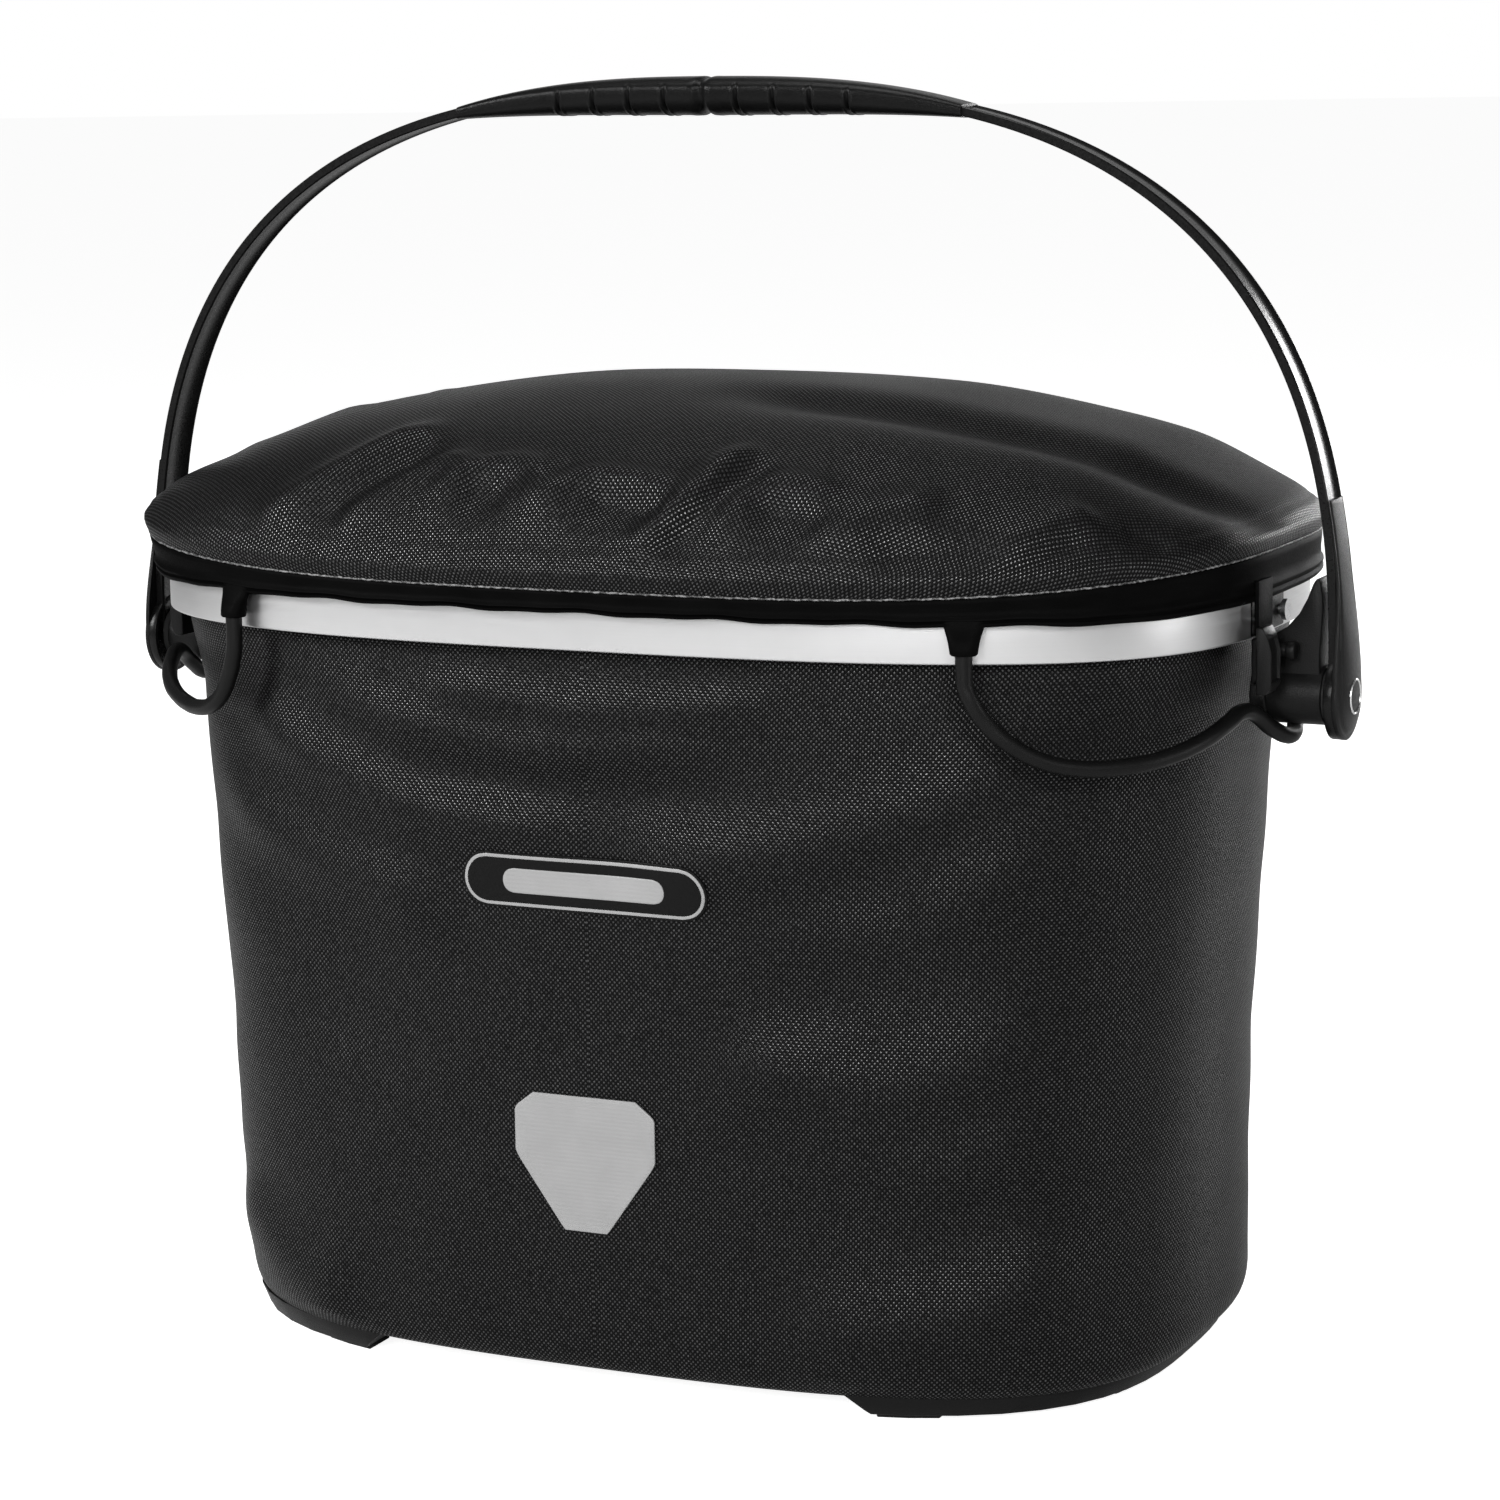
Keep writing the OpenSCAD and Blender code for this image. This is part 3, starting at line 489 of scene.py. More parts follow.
def finish_coated_weave():
    """Coated plain weave: staggered yarn crossings that glint where the cloth faces the light. Its base
    colour is painted: lighter on the raised yarn tops as a painted highlight, darker in the valleys between
    them as painted shade.
    """
    dark, light = grey(0.0015, 0.00005), grey(0.013, 0.0003)
    finish, tree, shader = start_finish("coated_weave", dark, 0.45)
    yarns = split_axes(tree, surface_place(tree, (math.pi / weave_pitch, math.pi / weave_pitch, 1), "UV"))

    def step(operation, a, b=None):
        return worked_out(tree, operation, a, b)

    wander = grain(tree, surface_place(tree), 160, 2)
    shift = step("MULTIPLY", step("SUBTRACT", wander, 0.5), 1.1)
    warp = step("SINE", step("ADD", yarns["X"], shift))
    weft = step("SINE", step("ADD", yarns["Y"], shift))
    crossing = step("MULTIPLY", warp, weft)
    yarn_top = step("POWER", step("ABSOLUTE", crossing), 0.6)
    over = step("MAXIMUM", crossing, 0.0)
    broad = grain(tree, surface_place(tree), 14, 3)
    glint_scatter = grain(tree, surface_place(tree), 900, 2)
    # the base colour is painted lighter on the raised yarn tops, a painted highlight, and darker in the
    # valleys between them, painted shade; one noise scatters both the painted glints and the shine
    raised = step("ADD", step("MULTIPLY", over, 0.8), step("MULTIPLY", yarn_top, 0.2))
    shade = step("MULTIPLY", raised, spread(tree, glint_scatter, 0.35, 1.3))
    tree.links.new(tone(tree, shade, dark, light), shader.inputs["Base Color"])
    shine = step("MULTIPLY", step("POWER", over, 1.5), spread(tree, glint_scatter, 0.25, 1.5))
    glint = step("ADD", step("MULTIPLY", shine, 0.75), 0.03)
    tree.links.new(glint, shader.inputs["Specular IOR Level"])
    rough = step("ADD", step("MULTIPLY", over, -0.16), spread(tree, broad, 0.40, 0.48))
    tree.links.new(rough, shader.inputs["Roughness"])
    relief(tree, shader, yarn_top, 0.00013, 1.0)
    return finish


coated_weave = finish_coated_weave()


def bag_half_sizes(depth):
    share = taper_share(depth)
    half_w = rim_half_w - bag_top_in - share * (bag_taper_w - bag_top_in)
    half_d = rim_half_d - bag_top_in - share * (bag_taper_d - bag_top_in)
    return half_w, half_d


bag_perimeter_angles = np.linspace(-math.pi / 2, 1.5 * math.pi, 4001)


def even_angles(count):
    """Angles that divide the bag's oval into equal steps along the cloth, from the middle of its front."""
    points = np.array([oval_point(rim_half_w, rim_half_d, a) for a in bag_perimeter_angles])
    run = np.concatenate([[0], np.cumsum(np.linalg.norm(np.diff(points, axis=0), axis=1))])
    wanted = np.linspace(0, run[-1], count + 1)[:-1]
    return np.interp(wanted, run, bag_perimeter_angles), run[-1]


bag_angles, bag_run = even_angles(bag_around)


def bag_folds(x, depth, front):
    """How far the cloth stands out of its taut shape at width x and depth, on its front or rear."""
    places = np.column_stack([x, -depth])
    lift = np.zeros(len(x))
    for line, width, height in front_folds if front else rear_folds:
        lift += crease(line, places, width, height * bag_fullness)
    return lift


# Each fold: its line over (x, height from the rim's lower edge), its half width and how far it stands
# out, which the bag's fullness makes deeper.
bag_fullness = 1.35
front_folds = [
    (bend_line((-0.075, -0.012), (0.0, -0.020), (0.080, -0.014)), 0.0045, 0.0018),
    (bend_line((-0.110, -0.016), (-0.03, -0.034), (0.060, -0.030)), 0.0055, 0.0022),
    (bend_line((-0.150, -0.022), (-0.080, -0.052), (0.010, -0.062)), 0.0075, 0.0030),
    (bend_line((-0.165, -0.045), (-0.110, -0.078), (-0.040, -0.090)), 0.009, 0.0024),
    (bend_line((0.150, -0.030), (0.090, -0.058), (0.010, -0.075)), 0.009, 0.0030),
    (bend_line((0.165, -0.055), (0.110, -0.085), (0.050, -0.100)), 0.010, 0.0024),
    (bend_line((0.160, -0.120), (0.105, -0.140), (0.040, -0.132)), 0.010, 0.0027),
    (bend_line((0.165, -0.150), (0.120, -0.165), (0.070, -0.160)), 0.010, 0.0016),
    (bend_line((-0.168, -0.205), (-0.130, -0.225), (-0.090, -0.232)), 0.010, 0.0030),
    (bend_line((0.168, -0.190), (0.130, -0.216), (0.060, -0.228)), 0.011, 0.0032),
    (bend_line((-0.090, -0.045), (-0.020, -0.048), (0.060, -0.046)), 0.007, -0.0016),
    (bend_line((-0.140, -0.065), (-0.100, -0.100), (-0.095, -0.160)), 0.016, -0.0020),
    (bend_line((0.120, -0.070), (0.080, -0.105), (0.085, -0.130)), 0.014, -0.0019),
]
rear_folds = [
    (bend_line((-0.160, -0.030), (-0.110, -0.070), (-0.080, -0.120)), 0.010, 0.0016),
    (bend_line((0.160, -0.030), (0.110, -0.070), (0.080, -0.120)), 0.010, 0.0016),
    (bend_line((-0.160, -0.190), (-0.100, -0.222), (-0.040, -0.226)), 0.011, 0.0016),
    (bend_line((0.160, -0.190), (0.100, -0.222), (0.040, -0.226)), 0.011, 0.0016),
]


def bag_point_rows():
    """Rows of points from the welt in the rim's channel down to the edge of the floor and under it."""
    rows = []

    def add_row(half_w, half_d, z):
        points = np.array([oval_point(half_w, half_d, a) for a in bag_angles])
        rows.append(np.column_stack([points, np.full(len(points), z)]))

    wall_end = bag_drop - bag_roll_tall
    upper_rows = np.linspace(bag_welt_z, bag_seam_z, 7)[:-1]
    for z in [*upper_rows, *np.linspace(bag_seam_z, -wall_end, bag_rows)]:
        add_row(*bag_half_sizes(max(-z, 0)), z)
    # the lower edge turns under in a soft roll to the floor, and hangs a little below it
    half_w, half_d = bag_half_sizes(wall_end)
    for k in range(1, 13):
        turn = math.pi / 2 * k / 12
        inward = bag_roll_in * (1 - math.cos(turn))
        roll_z = (bag_roll_tall - bag_floor_gap) * math.sin(turn)
        add_row(half_w - inward, half_d - inward, -wall_end - roll_z - bag_droop * math.sin(math.pi * k / 12))
    for inset in (0.013, 0.018, 0.024):
        add_row(half_w - inset, half_d - inset, bag_floor_gap - bag_drop)
    return rows


def drape_bag(rows):
    draped = []
    for row in rows:
        x, y, z = row.T
        depth = np.maximum(-z, 0)
        out = np.column_stack([x * np.abs(x) / rim_half_w**3, y * np.abs(y) / rim_half_d**3])
        out /= np.linalg.norm(out, axis=1)[:, None]
        low = smooth_step(0.0, 0.006, bag_drop - depth)
        high = smooth_step(0.002, 0.014, depth)
        lift = np.where(y < 0, bag_folds(x, depth, True), bag_folds(x, depth, False)) * low * high
        ripple = cloth_ripple * np.sin(x * 95 + 2.1 * np.sin(depth * 40)) * np.sin(depth * 70 + x * 30)
        # the hanging bag leans a little to the right at the lower edge of its ends
        lean = np.where(x < 0, bag_lean_left, bag_lean_right) * smooth_step(0.10, 0.17, np.abs(x))
        lean = lean * smooth_step(0.185, 0.225, depth)
        lift = lift + ripple * low * high + lean
        x = x + out[:, 0] * lift
        y = y + out[:, 1] * lift
        # the rear board holds the back flat
        y = np.where(depth > 0.004, np.minimum(y, bag_flat_y - board_gap), y)
        draped.append(np.column_stack([x + rim_centre.x, y + rim_centre.y, z + rim_centre.z]))
    return draped


bag_rows_of_points = drape_bag(bag_point_rows())
bag_row_steps = [
    np.median(np.linalg.norm(lower - upper, axis=1))
    for upper, lower in zip(bag_rows_of_points[:-1], bag_rows_of_points[1:])
]
bag_row_depths = np.concatenate([[0], np.cumsum(bag_row_steps)])
cut_share = 0.96


def bag_cloth_place(row, column):
    """A point's place on the flat cloth, which was cut a little shorter than the rim is round."""
    return bag_run * cut_share * column / bag_around, -bag_row_depths[len(bag_row_depths) - 1 - row]


bag_shell = loft_sheet("bag_shell", bag_rows_of_points[::-1], uv=bag_cloth_place)
thicken(bag_shell, bag_thickness)
smooth_by_angle(bag_shell, 60)
bag_shell.data.materials.append(coated_weave)
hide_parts("bag_wall")
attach(bag_shell, "basket")


def finish_board():
    """Grey polypropylene twin-wall board with shallow flutes."""
    finish, tree, shader = start_finish("board", grey(0.05, 0.002), 0.5)
    flutes = grain(tree, surface_place(tree, (1, 0.05, 0.05)), 600, 2)
    scuffs = grain(tree, surface_place(tree), 120, 5)
    colour_and_gloss(tree, shader, scuffs, grey(0.04, 0.002), grey(0.075, 0.003), scuffs, 0.42, 0.6)
    relief(tree, shader, flutes, 0.0003, 0.5)
    return finish


board = finish_board()
give_finish("floor_board", board)
give_finish("back_board", board)


def finish_floor_weave():
    """The floor's coated weave, read from the piece's own place because the floor is flat."""
    finish, tree, shader = start_finish("floor_weave", grey(0.012, 0.0005), 0.55)
    yarns = split_axes(tree, surface_place(tree, (math.pi / weave_pitch, math.pi / weave_pitch, 1)))
    warp, weft = (worked_out(tree, "SINE", yarns[axis]) for axis in ("X", "Y"))
    crossing = worked_out(tree, "MULTIPLY", warp, weft)
    # the colour is painted lighter on the crossings where one yarn lies over and darker where the other does,
    # a painted sheen and shade on yarns of one colour
    shade = tone(tree, spread(tree, crossing, 0, 1, -1, 1), grey(0.010, 0.0005), grey(0.03, 0.001))
    tree.links.new(shade, shader.inputs["Base Color"])
    relief(tree, shader, crossing, 0.00015, 0.8)
    return finish


floor_weave = finish_floor_weave()
give_finish("bag_floor", floor_weave)
give_finish("bag_keder", floor_weave)


# ---- Badge and reflector ----
# Two pieces are welded flat on the bag's front: a plain nameplate blank, a dark rubber pad with a thin pale
# border and a bare bar, and a tapered eight-sided patch of fine reflective cloth.
badge_low, badge_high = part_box("badge_patch")
reflector_low, reflector_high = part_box("reflector_patch")
patch_proud = 0.0007


def front_surface(x, height):
    """The draped cloth's y at width x and height from the rim's lower edge, on the bag's front."""
    depth = np.maximum(-height, 0)
    half_w, half_d = bag_half_sizes(depth)
    taut = -half_d * (1 - (np.abs(x) / half_w) ** oval_squareness) ** (1 / oval_squareness)
    return taut - bag_folds(x, depth, True)


def patch_on_front(name, outline, across=30, up=14, proud=patch_proud):
    """A thin patch that follows the cloth; its outline gives half widths at heights, from below up."""
    low_z, high_z = outline[0][0], outline[-1][0]
    rows = []
    for k in range(up + 1):
        z = low_z + (high_z - low_z) * k / up
        half = np.interp(z, [o[0] for o in outline], [o[1] for o in outline])
        x = np.linspace(-half, half, across)
        y = front_surface(x, np.full(across, z)) - proud
        rows.append(np.column_stack([x, y, np.full(across, z)]) + np.array(rim_centre))
    patch = loft_sheet(name, rows, close_round=False, uv=lambda row, column: (column / across, row / up))
    thicken(patch, proud + 0.0001, offset=-1)
    merge_and_face_out(patch)
    add_bevel(patch, 0.00022, 2, 40)
    smooth_by_angle(patch, 40)
    return patch


def rounded_outline(middle_z, half_w, half_h, radius, steps=7):
    """Half widths of a rounded bar, from its lower edge to its upper one."""
    turns = [math.pi / 2 * k / steps for k in range(steps + 1)]
    corner = [(radius * (1 - math.sin(t)), radius * (1 - math.cos(t))) for t in turns]
    lower = [(middle_z - half_h + up, half_w - inward) for up, inward in corner[::-1]]
    upper = [(middle_z + half_h - down, half_w - inward) for down, inward in corner]
    return lower + upper


def join_pieces(name, *pieces):
    """Makes the pieces one mesh under the first one's place, with a new name."""
    select_only(*pieces)
    bpy.ops.object.join()
    joined = bpy.context.view_layer.objects.active
    joined.name = name
    return joined


def finish_badge_pad():
    finish, tree, shader = start_finish("badge_pad", grey(0.004), 0.45, Specular_IOR_Level=0.06)
    fine = grain(tree, surface_place(tree), 1500, 3)
    colour_and_gloss(tree, shader, fine, grey(0.002), grey(0.006), fine, 0.34, 0.5)
    relief(tree, shader, fine, 0.00008, 0.5)
    return finish


def finish_reflective():
    """Pale grey reflective cloth: glass beads in a fine weave."""
    finish, tree, shader = start_finish("reflective", grey(0.50), 0.42)
    beads = grain(tree, surface_place(tree), 2400, 2)
    clouding = grain(tree, surface_place(tree), 60, 3)
    thread_pitch = 0.0007
    thread_place = split_axes(tree, surface_place(tree, (math.pi / thread_pitch,) * 3))
    threads = worked_out(tree, "SINE", thread_place["Z"])
    colour_and_gloss(tree, shader, clouding, grey(0.17), grey(0.22), beads, 0.34, 0.52)
    under = relief(tree, shader, beads, 0.00010, 0.6)
    relief(tree, shader, threads, 0.00004, 0.4, under)
    return finish


badge_pad = finish_badge_pad()
reflective = finish_reflective()
badge_middle = (badge_low[2] + badge_high[2]) / 2 - rim_centre.z
badge_half_w = (badge_high[0] - badge_low[0]) / 2 + 0.0015
badge_half_h = (badge_high[2] - badge_low[2]) / 2
bar_half_w, bar_half_h, bar_proud = 0.030, 0.0042, 0.0013
badge_layers = []
for layer_name, inset, proud, finish in (
    ("badge_pad", 0.0, 0.0007, badge_pad),
    ("badge_border", 0.0008, 0.0009, reflective),
    ("badge_field", 0.0019, 0.00105, badge_pad),
):
    half_h = badge_half_h - inset
    outline = rounded_outline(badge_middle, badge_half_w - inset, half_h, half_h * 0.995)
    layer = patch_on_front(layer_name, outline, across=64, up=30, proud=proud)
    layer.data.materials.append(finish)
    badge_layers.append(layer)
bar_outline = rounded_outline(badge_middle, bar_half_w, bar_half_h, bar_half_h - 0.0001)
badge_bar = patch_on_front("badge_bar", bar_outline, across=40, up=16, proud=bar_proud)
badge_bar.data.materials.append(reflective)
badge_plate = join_pieces("badge_plate", *badge_layers, badge_bar)
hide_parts("badge_patch")
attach(badge_plate, "basket")

reflector_top = reflector_high[2] - rim_centre.z
reflector_tall = reflector_high[2] - reflector_low[2]
reflector_half_w = (reflector_high[0] - reflector_low[0]) / 2
reflector_shift = -0.0018
reflector_outline = [
    # (height, half width), from the narrow lower edge up to the top
    (reflector_top - reflector_tall, reflector_half_w * 0.30),
    (reflector_top - reflector_tall * 0.97, reflector_half_w * 0.345),
    (reflector_top - reflector_tall * 0.49, reflector_half_w * 0.955),
    (reflector_top - reflector_tall * 0.44, reflector_half_w),
    (reflector_top - reflector_tall * 0.13, reflector_half_w),
    (reflector_top - reflector_tall * 0.10, reflector_half_w * 0.965),
    (reflector_top, reflector_half_w * 0.73),
]
reflector = patch_on_front("reflector", reflector_outline, across=30, up=44)
reflector.data.materials.append(reflective)
move_mesh(reflector, Vector((reflector_shift, 0, 0)))
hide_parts("reflector_patch")
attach(reflector, "basket")


# ---- Base stands ----
# Two moulded bars of textured black plastic run round the ends under the floor and carry rubber pads.
# Screws go up through them, the fabric and the stiff board into nuts inside the bag.
def finish_moulded(name, dark, light, glossy, dull, texture=2200, shine=0.12):
    """Moulded black plastic or rubber with a spark-eroded grain."""
    finish, tree, shader = start_finish(name, dark, glossy, Specular_IOR_Level=shine)
    spark = grain(tree, surface_place(tree), texture, 3, 0.6)
    broad = grain(tree, surface_place(tree), 45, 3)
    colour_and_gloss(tree, shader, broad, dark, light, spark, glossy, dull)
    relief(tree, shader, spark, 0.00014, 0.8)
    return finish


def rounded_copy(node, name, width, segments=3, angle=35):
    """A copy of a CAD node with its moulded edges rounded."""
    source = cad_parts[node]
    copy = source.copy()
    copy.data = source.data.copy()
    copy.name = name
    for key in list(copy.keys()):
        if key.startswith("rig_"):
            del copy[key]
    bpy.context.collection.objects.link(copy)
    copy.data.materials.clear()
    select_only(copy)
    bpy.ops.object.mode_set(mode="EDIT")
    bpy.ops.mesh.select_all(action="SELECT")
    bpy.ops.mesh.remove_doubles(threshold=0.00001)
    bpy.ops.mesh.dissolve_limited(angle_limit=math.radians(1.0))
    bpy.ops.object.mode_set(mode="OBJECT")
    add_bevel(copy, width, segments, angle)
    smooth_by_angle(copy, 40)
    return copy


black_plastic = finish_moulded("black_plastic", grey(0.0016), grey(0.0042), 0.32, 0.48)
pad_rubber = finish_moulded("pad_rubber", grey(0.012), grey(0.022), 0.6, 0.8, 900)
stand_flare_w, stand_flare_d = 0.020, 0.026
stand_draw_w, stand_draw_d = 0.016, 0.022
for side in ("left", "right"):
    stand = rounded_copy(f"base_stand_{side}", f"base_stand_bar_{side}", 0.0007, 3)
    # the moulding's skirt reaches out to the bag's edge at the top and draws in towards the ground
    stand_low, stand_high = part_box(f"base_stand_{side}")
    for vertex in stand.data.vertices:
        down = (stand_high[2] - vertex.co.z) / (stand_high[2] - stand_low[2])
        from_middle = vertex.co.y - rim_centre.y
        vertex.co.x *= 1 + stand_flare_w - stand_draw_w * down**2
        vertex.co.y = rim_centre.y + from_middle * (1 + stand_flare_d - stand_draw_d * down**2)
    stand.data.materials.append(black_plastic)
    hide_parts(f"base_stand_{side}")
    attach(stand, "basket")
pads = rounded_copy("foot_pads", "rubber_feet", 0.0005, 3)
pads.data.materials.append(pad_rubber)
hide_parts("foot_pads")
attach(pads, "basket")
give_finish("base_screws", steel_fastener)
give_finish("base_nuts", steel_fastener)


# ---- Hinge brackets ----
# A black moulded bracket is screwed to the rim at each end. Its boss holds the pivot bolt of the carry bow,
# a curved gusset ties the boss to the rim, and a small peg beside it takes the cover's hook.
hinge_y = -0.011
hinge_z = -0.020
boss_in_x = rim_half_w - 0.003
boss_out_x = rim_half_w + 0.021
boss_r = 0.010
peg_y, peg_z = hinge_y - 0.0112, -0.0040
peg_r, peg_head_r = 0.0021, 0.0031


def plate_from_outline(name, outline, y0, y1):
    """A plate cut to an outline (x, z) about the rim's centre, between two depths."""
    plate_mesh = bpy.data.meshes.new(name)
    plate_mesh.from_pydata([(x, y0, z) for x, z in outline], [], [list(range(len(outline)))])
    plate = bpy.data.objects.new(name, plate_mesh)
    bpy.context.collection.objects.link(plate)
    select_only(plate)
    bpy.ops.object.mode_set(mode="EDIT")
    bpy.ops.mesh.select_all(action="SELECT")
    bpy.ops.mesh.extrude_region_move(TRANSFORM_OT_translate={"value": (0, y1 - y0, 0)})
    bpy.ops.mesh.select_all(action="SELECT")
    bpy.ops.mesh.normals_make_consistent(inside=False)
    bpy.ops.object.mode_set(mode="OBJECT")
    return plate


def rod_along_x(name, radius, x0, x1, y=hinge_y, z=hinge_z, vertices=48):
    bpy.ops.mesh.primitive_cylinder_add(
        vertices=vertices, radius=radius, depth=x1 - x0,
        location=((x0 + x1) / 2, y, z), rotation=(0, math.pi / 2, 0))
    rod = bpy.context.active_object
    rod.name = name
    select_only(rod)
    bpy.ops.object.transform_apply(location=True, rotation=True, scale=True)
    return rod


def mirrored_piece(piece, name, across=(1, 0, 0)):
    """The same piece for the other end or side, as its own mesh."""
    other = piece.copy()
    other.data = piece.data.copy()
    other.name = name
    bpy.context.collection.objects.link(other)
    other.data.transform(Matrix.Scale(-1, 4, across))
    other.data.flip_normals()
    return other


def select_faces(piece, test):
    """Selects, in edit mode, the faces whose middle and normal pass the test."""
    bpy.ops.object.mode_set(mode="OBJECT")
    for polygon in piece.data.polygons:
        polygon.select = test(polygon.center, polygon.normal)
    for edge in piece.data.edges:
        edge.select = False
    for vertex in piece.data.vertices:
        vertex.select = False
    bpy.ops.object.mode_set(mode="EDIT")
    bpy.ops.mesh.select_mode(type="FACE")


gusset_line = [
    (0.2005, -0.0004), (0.2040, 0.0003), (0.2085, 0.0030), (0.2125, 0.0075), (0.2152, 0.0125),
    (0.2170, 0.0172), (0.2182, 0.0192), (0.2194, 0.0192), (0.2204, 0.0140), (0.2206, 0.0100),
    (0.2203, 0.0040), (0.2198, -0.0030), (0.2196, -0.0090), (0.2200, -0.0150), (0.2160, -0.0200),
    (0.1975, -0.0200), (0.1975, -0.0006),
]
lug_line = [
    (0.2005, 0.002), (0.2065, -0.001), (0.2065, -0.010), (0.1985, -0.016), (0.1985, -0.0004),
    (0.2005, -0.0004),
]
pad_section = [(0.0, 0.0003), (0.0032, 0.0009), (0.0032, 0.0117), (0.0, 0.0123)]
pad_half_w = 0.0168
gusset_half_t = 0.0065
gusset = plate_from_outline("gusset", gusset_line, hinge_y - gusset_half_t, hinge_y + gusset_half_t)
boss = rod_along_x("boss", boss_r, boss_in_x, boss_out_x)
select_faces(boss, lambda middle, normal: normal.x > 0.9)
bpy.ops.mesh.inset(thickness=0.0052)
bpy.ops.mesh.extrude_region_move(TRANSFORM_OT_translate={"value": (-0.002, 0, 0)})
bpy.ops.object.mode_set(mode="OBJECT")
collar = rod_along_x("collar", boss_r + 0.0014, boss_in_x, rim_half_w + 0.0025)
pad_path = [p for p in oval_path(0.0002, 720) if p[0] > 0 and abs(p[1] - hinge_y) < pad_half_w]
pad_path.sort(key=lambda p: p[1])
screw_pad = sweep_section("screw_pad", pad_path, pad_section, cyclic=False)
peg = rod_along_x("peg", peg_r, rim_half_w - 0.0002, rim_half_w + 0.0115, peg_y, peg_z, 32)
peg_head = rod_along_x("peg_head", peg_head_r, rim_half_w + 0.0100, rim_half_w + 0.0132, peg_y, peg_z, 32)
peg_lug = plate_from_outline("peg_lug", lug_line, hinge_y - 0.0140, hinge_y - 0.0050)
bracket_parts = [gusset, boss, collar, screw_pad, peg, peg_head, peg_lug]
for part in bracket_parts:
    add_bevel(part, 0.0007, 3, 30)
bracket_right = join_pieces("hinge_bracket_moulding_right", *bracket_parts)
smooth_by_angle(bracket_right, 40)
bracket_right.data.materials.append(black_plastic)
bracket_left = mirrored_piece(bracket_right, "hinge_bracket_moulding_left")
for side, bracket in (("right", bracket_right), ("left", bracket_left)):
    move_mesh(bracket, rim_centre)
    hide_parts(f"hinge_bracket_{side}")
    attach(bracket, "basket")
for node in ("bracket_screws", "bracket_nut_plates", "pivot_bolts", "pivot_nuts"):
    give_finish(node, steel_fastener)
black_nylon = finish_moulded("black_nylon", grey(0.010), grey(0.018), 0.35, 0.5, 700)
give_finish("pivot_washers", black_nylon)


# ---- Rear adapter ----
# A black moulded plate is bolted through the bag's back into its stiff board. Two lipped rails on it take
# the tongue of the handlebar mount from below.
adapter = rounded_copy("adapter_plate", "adapter_rail_plate", 0.0009, 3)
adapter.data.materials.append(black_plastic)
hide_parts("adapter_plate")
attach(adapter, "basket")
screw_heads = rounded_copy("adapter_screws", "adapter_dome_screws", 0.0006, 3)
screw_heads.data.materials.append(steel_fastener)
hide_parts("adapter_screws")
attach(screw_heads, "basket")
give_finish("adapter_nuts", steel_fastener)


# ---- Cover ----
# The soft lift-off cover is a domed panel of the same weave, cut full and gathered on its seam, so it lies
# in soft folds. A smooth coated hem with an elastic in its rolled edge grips the rim.
cover_around = 360
cover_rings = 72
seam_low = 0.020
seam_lift = 0.008
dome_top = seam_low + 0.062
dome_plan = 2.1
dome_crown = 0.45
hem_out = 0.0034
cover_cloth = 0.0013
cover_belly, left_belly = 0.0020, 0.0008
cover_slack = 0.0018
cover_sags = [
    # (left or right, x where the sag begins, x where it is full, how far the cloth hangs)
    (-1, 0.05, 0.12, 0.0010), (-1, 0.12, 0.18, 0.0044), (1, 0.07, 0.13, 0.0018), (1, 0.15, 0.195, 0.0056),
]


def seam_height(x):
    return seam_low + seam_lift * (np.abs(x) / (rim_half_w + hem_out)) ** 3.5


